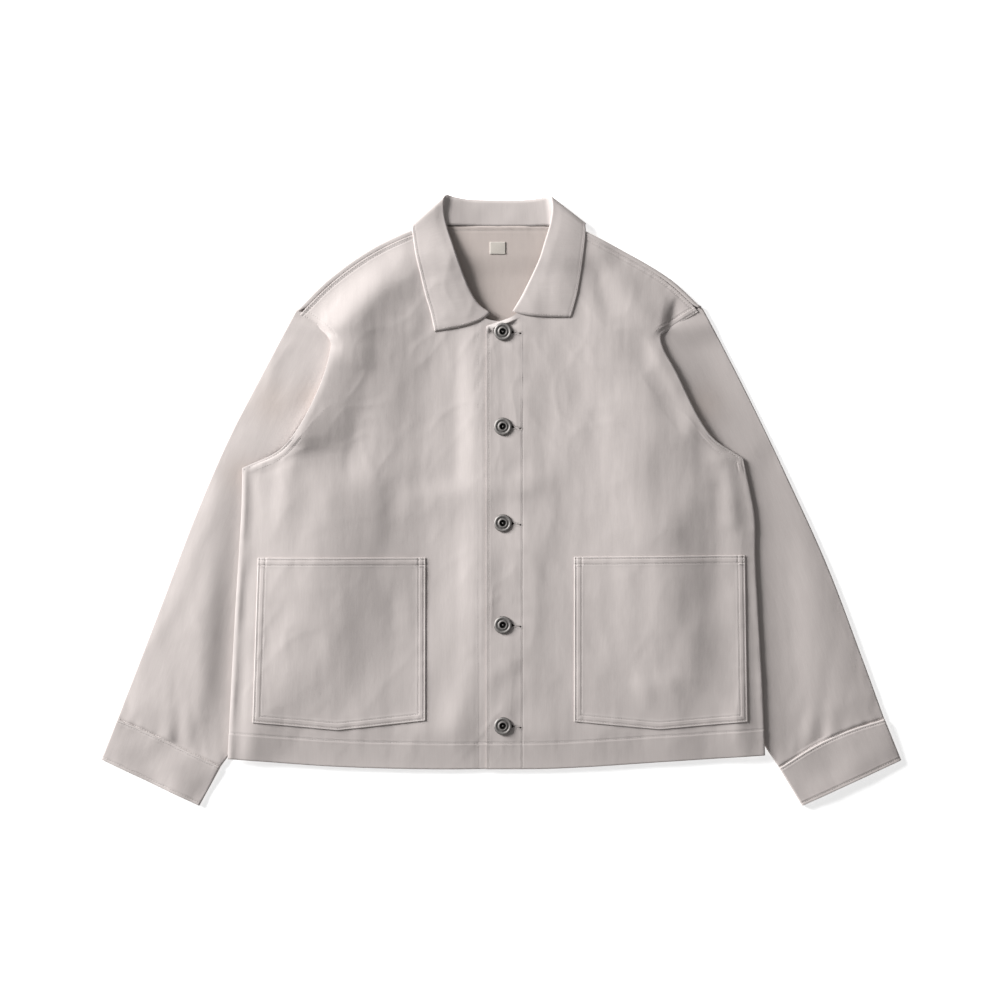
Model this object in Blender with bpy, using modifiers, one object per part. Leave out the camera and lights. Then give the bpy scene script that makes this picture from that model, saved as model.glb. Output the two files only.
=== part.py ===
# A chore jacket of cotton twill, buttoned and laid flat on its back.
#
# The tables and the functions below use millimetres. x runs to the right of
# someone who looks down at the jacket, y runs towards the collar, and z is the
# height over the table. The wearer's left front laps over the right one, so
# "left" is the side at +x. Tables of one side count x outwards from the centre
# front, so one function serves both sides, and its result is mirrored for the
# right side.

import math

import bmesh
import bpy
import numpy as np

MM = 0.001

# Cloth, seams and heights of the layers
CLOTH = 1.2
COLLAR_CLOTH = 1.5
CUFF_CLOTH = 1.7
LABEL_CLOTH = 0.5
SEAM = 0.3
REST = CLOTH / 2
FRONT_LEVEL = 4.2
OVERLAP_DROP = 1.6
SLEEVE_DEPTH = 2.8
SLEEVE_PUFF = 1.9
SLEEVE_TILT = 4.5
SLEEVE_LIFT = 4.7
FRONT_SHARE = 0.65
COLLAR_LIFT = 2.1
LEAF_RISE = 2.2
ARMHOLE_RISE = 1.7
HEM_DEPTH = 30.0
HEM_RISE = 0.5
PLACKET_WIDTH = 41.0
PLACKET_RISE = 0.4
BACK_INSET = 1.0
POCKET_GAP = 0.7

# Buttons: outer radius, height and the points along the placket
BUTTON_RADIUS = 10.3
BUTTON_SIDES = 20
BUTTON_X = 1.0
BUTTON_Y = (194.0, 85.0, -26.0, -143.0, -259.0)

# Woven neck label, bare: width, height and centre
LABEL_SIZE = (18.0, 14.0)
LABEL_CENTRE = (-5.0, 290.5)

# Grid of cells of each wall, across and along. A front's rows are those beside the
# centre front and the neck, and a back's those beside the side, armhole and shoulder.
FRONT_COLUMNS = 20
FRONT_ROWS = (27, 9)
FRONT_SIDE_ROWS = 21
BACK_COLUMNS = 24
BACK_ROWS = (12, 8, 7)
SLEEVE_CELLS = (12, 18)
CUFF_CELLS = (11, 2)
POCKET_CELLS = (13, 13)

# The box's centre lies here in the tables, and goes to the origin
BOX_CENTRE = (-1.0, 0.125)

# Edges of each side, as (x outwards, y)
SIDES = {
    "right": {
        "sign": -1.0,
        "hem": ((-23, -308), (74, -309), (191, -306), (315, -297)),
        "side": ((315, -297), (306, -127), (299, -11), (298, 37)),
        "armhole": ((298, 37), (250, 62), (214, 120), (196, 176), (202, 191), (232, 214)),
        "fold": ((75, 323), (144, 293), (198, 256), (236, 219)),
        "wrap": 5.0,
        "neck": ((-23, 204), (2, 206), (18, 209), (30, 219), (42, 236), (56, 262), (69, 290), (73, 315)),
        "outer": ((238, 217.5), (284, 131), (319, 62), (356, -25), (391, -117), (443, -252)),
        "end": ((238, 217.5), (224, 208.5), (204, 198.5), (188.5, 186.5), (187, 170), (193.5, 150), (204, 118),
                (217, 84), (226, 50), (229, -22)),
        "inner": ((229, -22), (230, -80), (240, -149), (267, -212), (301, -273), (325, -307)),
        "cuff_seam": ((443, -252), (404, -269), (371, -285), (325, -307)),
        "cuff_end": ((461, -298), (349, -351)),
        "pocket": ((88, -66), (280, -66), (286, -255), (189, -264), (88, -253)),
    },
    "left": {
        "sign": 1.0,
        "hem": ((-18, -309), (67, -308), (195, -300), (302, -293)),
        "side": ((302, -293), (299, -212), (291, -67), (290, -17), (277, 48)),
        "armhole": ((277, 48), (238, 76), (200, 147), (182, 187), (196, 198), (226, 217)),
        "fold": ((69, 323), (128, 293), (191, 256), (229, 222)),
        "wrap": 3.5,
        "neck": ((-18, 200), (-2, 206), (13, 212), (25, 224), (40, 243), (54, 274), (66, 313)),
        "outer": ((231.5, 219.5), (256, 173), (284, 118), (324, 35), (374, -75), (416, -186), (440, -252)),
        "end": ((231.5, 219.5), (214, 211.5), (195, 203.5), (176, 195), (173.5, 180), (179, 167),
                (190, 143), (206, 109), (222, 76), (229, -22)),
        "inner": ((229, -22), (230, -80), (240, -149), (262, -212), (297, -273), (320, -308)),
        "cuff_seam": ((440, -252), (400, -265), (362, -282), (320, -308)),
        "cuff_end": ((459, -299), (346, -351)),
        "pocket": ((83, -65), (279, -63), (282, -254), (180, -263), (83, -254)),
    },
}

# Back armhole from the underarm to the shoulder tip, beside the sleeve's end
BACK_ARMHOLE = {
    "right": ((297, 36), (252, 53), (220, 67), (213, 88), (200.5, 118), (190, 150), (183.6, 170),
              (183, 189.5), (202, 202), (222.5, 211.5), (236, 219.5)),
    "left": ((276, 47), (254, 57), (220, 69), (214, 82), (201, 109), (186.5, 143), (175.5, 167),
             (170, 180), (171.5, 198), (194, 207), (213, 214.2), (229.5, 221.5)),
}

# Collar, from the leaf's point round to the centre back. Each row is one
# section of the strip: neck seam, roll line and outer edge as (x outwards, y),
# then the share of the turn from the front of the garment to its back.
COLLAR = {
    "right": (
        ((15, 213), (14, 216), (77, 194), 0.0),
        ((27, 222), (28, 227), (82, 217), 0.0),
        ((39, 240), (39, 246), (88, 237), 0.0),
        ((52, 265), (49, 272), (94, 262), 0.0),
        ((62, 291), (57, 295), (99, 283), 0.0),
        ((67, 303), (64, 317), (102, 303), 0.0),
        ((67.5, 308), (67, 333), (103, 311), 0.0),
        ((67, 314), (67, 346), (102.5, 316), 0.08),
        ((64, 316.5), (64.5, 351), (103, 319), 0.5),
        ((61, 317), (60, 350.5), (100, 317), 0.94),
        ((54, 316.5), (53, 348.5), (75, 312), 1.0),
        ((37, 316), (37, 346), (43, 305), 1.0),
    ),
    "left": (
        ((12, 216), (13, 218), (79, 210), 0.0),
        ((23, 228), (23, 235), (86, 235), 0.0),
        ((36, 249), (33, 255), (90, 257), 0.0),
        ((50, 275), (43, 277), (93, 278), 0.0),
        ((59, 296), (49, 296), (95, 294), 0.0),
        ((62, 305), (55, 316), (96, 304), 0.0),
        ((62, 309), (58, 333), (96, 311), 0.0),
        ((60, 313), (57.5, 346), (95.5, 316), 0.08),
        ((57, 315.5), (55.5, 350), (96, 319), 0.5),
        ((54, 316), (51, 349.5), (92, 317), 0.94),
        ((47, 316), (44, 347.5), (67, 312), 1.0),
        ((30, 315.5), (28, 345.5), (36, 305), 1.0),
    ),
}
NECK_SEAM_Y = 314.0
NECK_STEP = 4.0
CENTRE_BACK = ((0, 315.5), (0, 345), (0, 301), 1.0)
COLLAR_ROLL = 2.0
SHOULDER_ROLL = (FRONT_LEVEL - REST) / 2
STAND_BACK_LEVEL = 2.9
FALL_BACK_LEVEL = COLLAR_CLOTH / 2 + 0.05

# Folds of the cloth, each a bell across its own path: the path in the picture's x and y,
# its height (a trough is negative), and its width to the left and to the right of the path
BODY_FOLDS = {
    "right": (
        # the ridge that runs from the collar down towards the armhole
        (((-70, 310), (-130, 250), (-170, 190), (-205, 120), (-240, 40)), 5.0, 50, 25),
        # the hollow beside it, from the chest down to the hem, and a smaller one near the placket
        (((-100, 290), (-125, 150), (-125, 40), (-130, -60), (-140, -300)), -3.0, 50, 40),
        (((-85, 200), (-85, 120), (-80, 40)), -1.5, 40, 30),
        # the roll from the waist down over the pocket
        (((-140, 80), (-175, -20), (-180, -100), (-200, -180), (-225, -300)), 3.0, 40, 55),
        # pulls from the underarm: one across, one down
        (((-240, 50), (-200, 45), (-150, 35)), -1.5, 40, 20),
        (((-230, 80), (-245, 20), (-255, -50)), 1.0, 15, 12),
        # beside the side seam, beside the collar's leaf, and low on the pocket
        (((-280, 20), (-285, -40), (-285, -110)), -0.8, 15, 12),
        (((-95, 230), (-110, 180)), 0.8, 12, 20),
        (((-210, -140), (-250, -200)), -0.6, 20, 15),
        # across the waist, and from the hem up to the placket
        (((-130, 0), (-60, 5), (20, 20)), 1.2, 15, 25),
        (((-80, -290), (-40, -240), (0, -170)), 1.0, 20, 40),
    ),
    "left": (
        # the roll down the chest and the pocket, and the hollow behind it
        (((140, 270), (160, 150), (160, 40), (165, -60), (180, -140), (195, -200), (190, -300)), 3.0, 40, 50),
        (((225, 60), (220, -60), (225, -180), (225, -300)), -1.5, 30, 30),
        # from the underarm across to the pocket, and low on the pocket
        (((240, 40), (205, -10), (165, -70)), 1.2, 25, 25),
        (((150, -230), (180, -210), (200, -195)), 1.0, 15, 20),
        # below the shoulder: beside the collar, and beside the armhole
        (((100, 310), (115, 250), (135, 190)), -1.2, 15, 12),
        (((125, 290), (150, 240), (165, 190)), 1.0, 15, 15),
        (((150, 200), (180, 140), (215, 80)), -1.0, 12, 15),
        # short pulls below the underarm
        (((250, 50), (250, 0)), -0.8, 12, 12),
        (((260, 10), (265, -40)), 0.6, 12, 12),
        # across the waist, and across the placket below the fourth button
        (((-40, 15), (20, 15), (70, 30)), 1.0, 15, 15),
        (((20, -180), (-20, -210)), 0.6, 12, 12),
    ),
}
SLEEVE_FOLDS = {
    "right": (
        # two folds below the shoulder
        (((-245, 200), (-265, 150), (-290, 80)), 1.5, 15, 15),
        (((-215, 170), (-230, 130), (-255, 90)), 1.2, 12, 15),
        # along the outer edge, and along the middle down to the cuff
        (((-310, 60), (-340, -20), (-370, -100), (-400, -160), (-430, -230)), 1.0, 12, 12),
        (((-325, -40), (-335, -120), (-340, -200), (-345, -270)), 1.0, 20, 25),
    ),
    "left": (
        # the hollow beside the body
        (((230, 200), (250, 120), (290, 50), (310, -60), (310, -170), (320, -270)), -1.5, 20, 15),
        # the ridge next to it, and a shallow trough
        (((330, -10), (345, -100), (345, -200), (350, -270)), 1.0, 20, 20),
        (((360, -90), (365, -180), (370, -270)), -0.8, 20, 12),
    ),
}
FOLD_BASE = 3.2
FOLD_TAPER = 0.35

CLOTH_COLOUR = (0.58, 0.515, 0.497, 1.0)
LABEL_COLOUR = (0.62, 0.54, 0.47, 1.0)
METAL_COLOUR = (0.2, 0.19, 0.185, 1.0)


def ease(value):
    """A step from 0 to 1 with level ends."""
    value = np.clip(value, 0.0, 1.0)
    return value * value * (3.0 - 2.0 * value)


def curve(points, count):
    """Evenly spaced points on a smooth curve through the given points."""
    points = np.array(points, float)
    padded = np.vstack((2 * points[0] - points[1], points, 2 * points[-1] - points[-2]))
    pieces = []
    steps = np.linspace(0.0, 1.0, 25)[:, None]
    for before, start, end, after in zip(padded, padded[1:], padded[2:], padded[3:]):
        reach = np.linalg.norm(end - start)
        into = (end - before) / max(np.linalg.norm(end - before), 1e-9) * reach
        away = (after - start) / max(np.linalg.norm(after - start), 1e-9) * reach
        square, cube = steps ** 2, steps ** 3
        pieces.append((2 * cube - 3 * square + 1) * start + (cube - 2 * square + steps) * into
                      + (3 * square - 2 * cube) * end + (cube - square) * away)
    dense = np.vstack(pieces)
    travelled = np.concatenate(([0.0], np.cumsum(np.linalg.norm(np.diff(dense, axis=0), axis=1))))
    wanted = np.linspace(0.0, travelled[-1], count + 1)
    return np.stack([np.interp(wanted, travelled, dense[:, axis]) for axis in range(2)], axis=1)


def joined(*runs):
    """One line of points from several (points, cells) runs, which keeps their corners."""
    lines = [curve(points, cells) for points, cells in runs]
    return np.vstack([lines[0]] + [line[1:] for line in lines[1:]])


def patch(bottom, top, start, end, spacing=None, near=(1, 1)):
    """A grid of plan points stretched between four edges that meet at the corners.

    A higher power in near keeps the bottom's or the top's own shape closer to that edge.
    """
    even = np.linspace(0.0, 1.0, len(bottom))
    u = (even if spacing is None else spacing)[None, :, None]
    v = np.linspace(0.0, 1.0, len(start))[:, None, None]
    from_bottom = (1 - v) ** near[0]
    from_top = v ** near[1]
    edges = from_bottom * bottom + from_top * top + (1 - u) * start[:, None] + u * end[:, None]
    corners = ((1 - u) * (from_bottom * bottom[0] + from_top * top[0])
               + u * (from_bottom * bottom[-1] + from_top * top[-1]))
    return edges - corners


def shifted(points, distance):
    """A line of points moved sideways, to the right of its direction when positive."""
    points = np.array(points, float)
    along = np.gradient(points, axis=0)
    along /= np.linalg.norm(along, axis=1)[:, None]
    return points + distance * np.stack((along[:, 1], -along[:, 0]), axis=1)


def edge_x(side, y):
    """How far out the body's side and armhole edge lies at each y."""
    table = np.array(SIDES[side]["side"] + SIDES[side]["armhole"][1:], float)
    return np.interp(y, table[:, 1], table[:, 0])


def hidden_x(side, y):
    """How far out the sleeve's inner fold, under the body, lies at each y."""
    table = np.array(SIDES[side]["inner"][::-1] + ((226, 60),), float)
    return np.interp(y, table[:, 1], table[:, 0])


def over_sleeve(side, x, y):
    """Rise of the back where it lies on the sleeve, with a soft ramp towards the centre."""
    ramp, level = 60.0, 10.0
    inwards = x - hidden_x(side, y) + ramp + level
    return SLEEVE_LIFT * ease(inwards / ramp) * ease((121.0 - y) / 48.0)


def over_collar(x, y):
    """Rise of the body round the neck, where the collar's fall lies under it."""
    return COLLAR_LIFT * ease((140.0 - np.abs(x)) / 30.0) * ease((y - 255.0) / 30.0)


def beside(line, x, y):
    """Distance to a line of points, length travelled along it, and the side (1 at its left, -1 at its right)."""
    run = np.diff(line, axis=0)
    lengths = np.maximum(np.linalg.norm(run, axis=1), 1e-9)
    travelled = np.concatenate(([0.0], np.cumsum(lengths)[:-1]))
    off = np.stack((np.ravel(x), np.ravel(y)), axis=1)[:, None] - line[:-1]
    share = np.clip((off * run).sum(axis=2) / lengths ** 2, 0.0, 1.0)
    off = off - share[..., None] * run
    gap = np.hypot(off[..., 0], off[..., 1])
    best = gap.argmin(axis=1)
    pick = np.arange(len(best))
    turn = run[best, 0] * off[pick, best, 1] - run[best, 1] * off[pick, best, 0]
    along = travelled[best] + share[pick, best] * lengths[best]
    shape = np.shape(x)
    return gap[pick, best].reshape(shape), along.reshape(shape), np.where(turn >= 0, 1.0, -1.0).reshape(shape)


def folds(table, x, y):
    """Sum of the soft ridges and troughs, each tapered to nothing at both of its ends."""
    height = np.zeros(np.shape(x))
    for path, rise, left_width, right_width in table:
        line = curve(path, 8 * (len(path) - 1))
        length = np.linalg.norm(np.diff(line, axis=0), axis=1).sum()
        gap, along, hand = beside(line, x, y)
        share = along / length
        taper = ease(share / FOLD_TAPER) * ease((1 - share) / FOLD_TAPER)
        height = height + rise * taper * np.exp(-(gap / np.where(hand > 0, left_width, right_width)) ** 2)
    return height


def body_folds(side, x, y):
    """Rise of a front over its seams' level. The under front follows the upper one where they lap."""
    picture_x = SIDES[side]["sign"] * x
    form = folds(BODY_FOLDS["left"], picture_x, y)
    if side == "right":
        own = folds(BODY_FOLDS["right"], picture_x, y)
        form = own + (form - own) * ease((picture_x + 55.0) / 35.0)
    inside = edge_x(side, y) - x
    shoulder = beside(curve(SIDES[side]["fold"], 24), x, y)[0]
    calm = ease((inside + 2.0) / 32.0) * ease(shoulder / 40.0) * (0.35 + 0.65 * ease((y + 309.0) / 50.0))
    return calm * (FOLD_BASE + form)


def back_level(side, x, y):
    """Height of the back's middle surface."""
    return REST + over_sleeve(side, x, y) + over_collar(x, y)


def front_level(side, x, y):
    """Height of a front's middle surface: base, lifts, hem, placket and folds."""
    data = SIDES[side]
    level = FRONT_LEVEL + FRONT_SHARE * over_sleeve(side, x, y) + over_collar(x, y)
    inside = edge_x(side, y) - x
    level = level + ARMHOLE_RISE * ease(1 - inside / 38.0) * ease((y - 45.0) / 30.0) * ease((224.0 - y) / 8.0)
    level = level + HEM_RISE * ease((-308.0 + HEM_DEPTH - y) / 5.0)
    if side == "right":
        level = level - OVERLAP_DROP * ease((48.0 - x) / 30.0)
    else:
        level = level + PLACKET_RISE * ease((PLACKET_WIDTH - 18.0 - x) / 6.0 + 1.0)
    return level + body_folds(side, x, y)


def sleeve_depth(side, x, y, across):
    """Distance between the walls: least where the body lies on the sleeve, most beside the body."""
    outer = np.array(SIDES[side]["outer"][::-1], float)
    outside = x - edge_x(side, y)
    width = np.maximum(np.interp(y, outer[:, 1], outer[:, 0]) - edge_x(side, y), 1.0)
    body = np.vstack((curve(SIDES[side]["side"], 12), curve(SIDES[side]["armhole"], 12)[1:]))
    gap = np.where(outside > 0, beside(body, x, y)[0], 0.0)
    free = ease((gap - 8.0) / 26.0) * ease((212.0 - y) / 40.0)
    form = SLEEVE_PUFF * (1.0 - (2.0 * across - 1.0) ** 2)
    form = form + SLEEVE_TILT * np.clip(1.0 - outside / width, 0.0, 1.0)
    return SLEEVE_DEPTH + free * (form + folds(SLEEVE_FOLDS[side], SIDES[side]["sign"] * x, y))


def material(name, colour, roughness, metallic):
    """A plain Principled material."""
    made = bpy.data.materials.new(name)
    made.use_nodes = True
    shader = made.node_tree.nodes["Principled BSDF"]
    shader.inputs["Base Color"].default_value = colour
    shader.inputs["Roughness"].default_value = roughness
    shader.inputs["Metallic"].default_value = metallic
    return made


def grid_faces(rows, columns, closed, skip=()):
    """Quads of a grid of points, joined round when closed, without the skipped cells."""
    faces = []
    for row in range(rows - 1):
        for column in range(columns if closed else columns - 1):
            if (row, column) in skip:
                continue
            after = (column + 1) % columns
            faces.append((row * columns + column, row * columns + after,
                          (row + 1) * columns + after, (row + 1) * columns + column))
    return faces


def add_object(name, mesh, finish):
    """Link one mesh object to the jacket's collection."""
    mesh.materials.append(finish)
    piece = bpy.data.objects.new(name, mesh)
    JACKET.objects.link(piece)
    return piece


def wall(name, points, thickness, finish, sign=1.0, closed=False, skip=()):
    """A sheet over a grid of points, given its thickness on both sides."""
    rows, columns = points.shape[:2]
    flat = (points.reshape(-1, 3) * (sign, 1.0, 1.0) - (*BOX_CENTRE, 0.0)) * MM
    mesh = bpy.data.meshes.new(name)
    mesh.from_pydata(flat.tolist(), [], grid_faces(rows, columns, closed, skip))
    sheet = bmesh.new()
    sheet.from_mesh(mesh)
    loose = [vertex for vertex in sheet.verts if not vertex.link_faces]
    bmesh.ops.delete(sheet, geom=loose, context="VERTS")
    bmesh.ops.recalc_face_normals(sheet, faces=sheet.faces)
    sheet.to_mesh(mesh)
    sheet.free()
    mesh.shade_smooth()
    piece = add_object(name, mesh, finish)
    solid = piece.modifiers.new("cloth thickness", "SOLIDIFY")
    solid.thickness = thickness * MM
    solid.offset = 0.0
    return piece


def front_plan(side, columns, rows, side_rows):
    """Plan grid of a front: hem, centre front with the neck, side with the armhole, shoulder."""
    data = SIDES[side]
    seam = shifted(curve(data["fold"], 12), data["wrap"] + 2 * SEAM)
    shoulder = [data["neck"][-1]] + [tuple(point) for point in seam[2:-1:3]] + [data["armhole"][-1]]
    centre = (data["hem"][0], data["neck"][0])
    start = joined((centre, rows[0]), (data["neck"], rows[1]))
    end = joined((data["side"], side_rows), (data["armhole"], sum(rows) - side_rows))
    return patch(curve(data["hem"], columns), curve(shoulder, columns), start, end)


def make_front(side):
    """One front, with its turned hem and placket in its own form."""
    plan = front_plan(side, FRONT_COLUMNS, FRONT_ROWS, FRONT_SIDE_ROWS)
    level = front_level(side, plan[..., 0], plan[..., 1])
    points = np.dstack((plan, level))
    return wall("front_" + side, points, CLOTH, FABRIC, SIDES[side]["sign"])


def back_edge(side):
    """Edge of the back: up the side, round the armhole and along the shoulder fold to the neck."""
    data = SIDES[side]
    side_cells, armhole_cells, shoulder_cells = BACK_ROWS
    armhole = np.array(BACK_ARMHOLE[side], float)
    lower = np.array(data["side"], float) - (BACK_INSET, 0)
    lower[0, 1] += BACK_INSET
    lower[-1] = armhole[0]
    fold = shifted(curve(data["fold"], shoulder_cells), SHOULDER_ROLL)[::-1]
    fold[0] = armhole[-1]
    edge = joined((lower, side_cells), (armhole, armhole_cells), (fold, shoulder_cells))
    return edge * (data["sign"], 1)


def make_back():
    """The back, whose shoulders turn over the fold and reach the fronts' seams."""
    right, left = back_edge("right"), back_edge("left")
    inner = BACK_COLUMNS - 1
    neck_x = np.linspace(right[-1, 0] + NECK_STEP, left[-1, 0] - NECK_STEP, inner)
    neck = np.vstack((right[-1], np.column_stack((neck_x, np.full(inner, NECK_SEAM_Y))), left[-1]))
    hem_right = np.array((SIDES["right"]["side"][0], (150, -306.5))) - (BACK_INSET, -BACK_INSET)
    hem_left = np.array((SIDES["left"]["side"][0], (150, -304))) - (BACK_INSET, -BACK_INSET)
    hem = curve(np.vstack((hem_right * (-1, 1), hem_left[::-1])), BACK_COLUMNS)
    hem[0], hem[-1] = right[0], left[0]
    plan = patch(hem, neck, right, left, near=(1, 3))
    on_left = plan[..., 0] > 0
    level = np.where(on_left, back_level("left", plan[..., 0], plan[..., 1]),
                     back_level("right", -plan[..., 0], plan[..., 1]))
    points, skip = with_shoulders(np.dstack((plan, level)))
    return wall("back_panel", points, CLOTH, FABRIC, skip=skip)


def with_shoulders(points):
    """Add columns that roll over each shoulder fold, and name the cells beside the rows below."""
    cells = BACK_ROWS[2]
    steps = np.arange(cells + 1)
    taper = np.clip(np.minimum(steps, steps[::-1]) / 2.0, 0.25, 1.0)
    rolled = {}
    for side, edge in (("right", points[:, 0]), ("left", points[:, -1])):
        along = np.gradient(edge[-cells - 1:, :2], axis=0)
        along /= np.linalg.norm(along, axis=1)[:, None]
        outwards = SIDES[side]["sign"] * np.stack((along[:, 1], -along[:, 0]), axis=1)
        columns = []
        for turn in (60.0, 120.0, 180.0):
            angle = math.radians(turn)
            column = edge.copy()
            column[-cells - 1:, :2] += outwards * SHOULDER_ROLL * math.sin(angle)
            column[-cells - 1:, 2] += SHOULDER_ROLL * (1 - math.cos(angle))
            columns.append(column)
        seam = columns[-1].copy()
        seam[-cells - 1:, :2] -= outwards * (SIDES[side]["wrap"] * taper - SHOULDER_ROLL)[:, None]
        rolled[side] = np.stack(columns + [seam], axis=1)
    grown = np.concatenate((rolled["right"][:, ::-1], points, rolled["left"]), axis=1)
    added = rolled["right"].shape[1]
    last = grown.shape[1] - 1
    beside = (*range(added), *range(last - added, last))
    skip = {(row, column) for row in range(len(points) - 1 - cells) for column in beside}
    return grown, skip


def tube_points(plan, depth, rise=REST):
    """Close a plan grid into a flattened tube: upper wall out, lower wall back."""
    across = np.linalg.norm(np.diff(plan, axis=1), axis=2)
    run = np.concatenate((np.zeros((len(plan), 1)), np.cumsum(across, axis=1)), axis=1)
    from_edge = np.minimum(run, run[:, -1:] - run)
    half = depth / 2
    round_edge = np.sqrt(np.clip(1 - np.clip(1 - from_edge / half, 0, 1) ** 2, 0, 1))
    middle = rise + half
    upper = np.dstack((plan, middle + half * round_edge))
    lower = np.dstack((plan, middle - half * round_edge))
    return np.concatenate((upper, lower[:, -2:0:-1]), axis=1)


def spaced(line, cells):
    """Resample a line with its points closer together at both ends."""
    share = (1 - np.cos(np.pi * np.arange(cells + 1) / cells)) / 2
    share = 0.35 * np.arange(cells + 1) / cells + 0.65 * share
    steps = np.linspace(0, 1, len(line))
    return np.stack([np.interp(share, steps, line[:, axis]) for axis in range(2)], axis=1), share


def sleeve_plan(side, cells):
    """Plan grid of a sleeve, from the armhole to the cuff seam."""
    data = SIDES[side]
    across, along = cells
    end, share = spaced(curve(data["end"], 120), across)
    cuff, _ = spaced(curve(data["cuff_seam"], 60), across)
    outer = curve(data["outer"], along)
    inner = curve(data["inner"], along)
    return patch(end, cuff, outer, inner, share, near=(3, 1)), share


def make_sleeve(side):
    """One sleeve, a flattened tube open at the armhole and at the cuff."""
    plan, share = sleeve_plan(side, SLEEVE_CELLS)
    depth = sleeve_depth(side, plan[..., 0], plan[..., 1], share[None, :])
    return wall("sleeve_" + side, tube_points(plan, depth), CLOTH, FABRIC, SIDES[side]["sign"], closed=True)


def make_cuff(side):
    """One cuff band, a flattened tube a seam's gap below the sleeve."""
    data = SIDES[side]
    across, along = CUFF_CELLS
    seam, share = spaced(curve(data["cuff_seam"], 60), across)
    end = np.array(data["cuff_end"], float)
    last = end[0] + (end[1] - end[0]) * share[:, None]
    first = seam + (last - seam) * (SEAM + 0.1) / np.linalg.norm(last - seam, axis=1)[:, None]
    steps = np.linspace(0.0, 1.0, along + 1)[:, None, None]
    plan = first[None] * (1 - steps) + last[None] * steps
    depth = np.full(plan.shape[:2], SLEEVE_DEPTH) + 0.6 * (1 - (2 * share[None, :] - 1) ** 2)
    points = tube_points(plan, depth, CUFF_CLOTH / 2)
    return wall("cuff_" + side, points, CUFF_CLOTH, FABRIC, data["sign"], closed=True)


def collar_section(side, row):
    """Points of the collar's strip at one section, from the neck seam to the outer edge."""
    neck, roll, edge = (np.array(point, float) for point in row[:3])
    turn = row[3]
    stand_dir = (roll - neck) / max(np.linalg.norm(roll - neck), 1e-9)
    leaf_dir = (edge - roll) / np.linalg.norm(edge - roll)
    step = min(COLLAR_ROLL, 0.45 * np.linalg.norm(roll - neck))
    plan = [neck, roll - stand_dir * step, roll, roll + leaf_dir * COLLAR_ROLL]
    plan += [roll + (edge - roll) * share for share in (0.25, 0.5, 0.75, 1.0)]
    plan = np.array(plan)
    body = front_level(side, plan[:, 0], plan[:, 1])
    front = body + np.array((0.0, 0.0, 0.5, 1.0, 1.0, 1.0, 1.0, 1.0)) * LEAF_RISE
    roll_back = (STAND_BACK_LEVEL + FALL_BACK_LEVEL) / 2
    back = np.array([STAND_BACK_LEVEL] * 2 + [roll_back] + [FALL_BACK_LEVEL] * 5)
    level = front * (1 - turn) + back * turn
    return np.column_stack((plan, level))


def make_collar():
    """The collar, one strip: stand, roll and leaf, from one front round the neck to the other."""
    right = [collar_section("right", row) * (-1, 1, 1) for row in COLLAR["right"]]
    left = [collar_section("left", row) for row in COLLAR["left"]]
    middle = collar_section("left", CENTRE_BACK)
    points = np.array(right + [middle] + left[::-1])
    return wall("collar", points, COLLAR_CLOTH, FABRIC)


def make_pocket(side):
    """A patch pocket with a pointed lower edge, made from the front's own heights, moved out."""
    data = SIDES[side]
    across, along = POCKET_CELLS
    inner_top, outer_top, outer_low, point, inner_low = (np.array(p, float) for p in data["pocket"])
    top = np.linspace(inner_top, outer_top, across + 1)
    half = (across + 1) // 2
    bottom = np.vstack((np.linspace(inner_low, point, half + 1)[:-1],
                        np.linspace(point, outer_low, across - half + 1)))
    start = np.linspace(inner_low, inner_top, along + 1)
    end = np.linspace(outer_low, outer_top, along + 1)
    plan = patch(bottom, top, start, end)
    level = front_level(side, plan[..., 0], plan[..., 1]) + CLOTH + POCKET_GAP
    return wall("pocket_" + side, np.dstack((plan, level)), CLOTH, FABRIC, data["sign"])


def make_buttons():
    """Five cast metal buttons with a domed ring round a sunken centre."""
    profile = ((0.0, 1.3), (3.0, 1.3), (4.2, 2.8), (6.4, 3.4), (8.8, 2.8),
               (BUTTON_RADIUS, 1.6), (BUTTON_RADIUS, 0.7), (9.6, 0.0), (0.0, 0.0))
    for number, y in enumerate(BUTTON_Y, start=1):
        mesh = bpy.data.meshes.new("button_%d" % number)
        points = [(radius * MM, 0.0, height * MM) for radius, height in profile]
        edges = [(step, step + 1) for step in range(len(profile) - 1)]
        mesh.from_pydata(points, edges, [])
        piece = add_object("button_%d" % number, mesh, METAL)
        turned = piece.modifiers.new("turned form", "SCREW")
        turned.steps = BUTTON_SIDES
        turned.render_steps = BUTTON_SIDES
        turned.use_merge_vertices = True
        turned.merge_threshold = 0.00001
        highest = max(float(front_level("left", np.array(BUTTON_X + dx), np.array(y + dy)))
                      for dx in (-9.0, 0.0, 9.0) for dy in (-9.0, 0.0, 9.0))
        piece.location = ((BUTTON_X - BOX_CENTRE[0]) * MM, (y - BOX_CENTRE[1]) * MM,
                          (highest + CLOTH / 2 + SEAM) * MM)


def make_label():
    """The bare woven label on the inside of the back, below the neck seam."""
    width, height = LABEL_SIZE
    xs = LABEL_CENTRE[0] + np.array((-0.5, 0.0, 0.5)) * width
    ys = LABEL_CENTRE[1] + np.array((-0.5, 0.0, 0.5)) * height
    plan = np.dstack(np.meshgrid(xs, ys))
    level = back_level("left", plan[..., 0], plan[..., 1]) + CLOTH / 2 + SEAM + LABEL_CLOTH / 2
    return wall("neck_label", np.dstack((plan, level)), LABEL_CLOTH, LABEL)


for leftover in list(bpy.data.objects):
    bpy.data.objects.remove(leftover, do_unlink=True)

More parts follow.
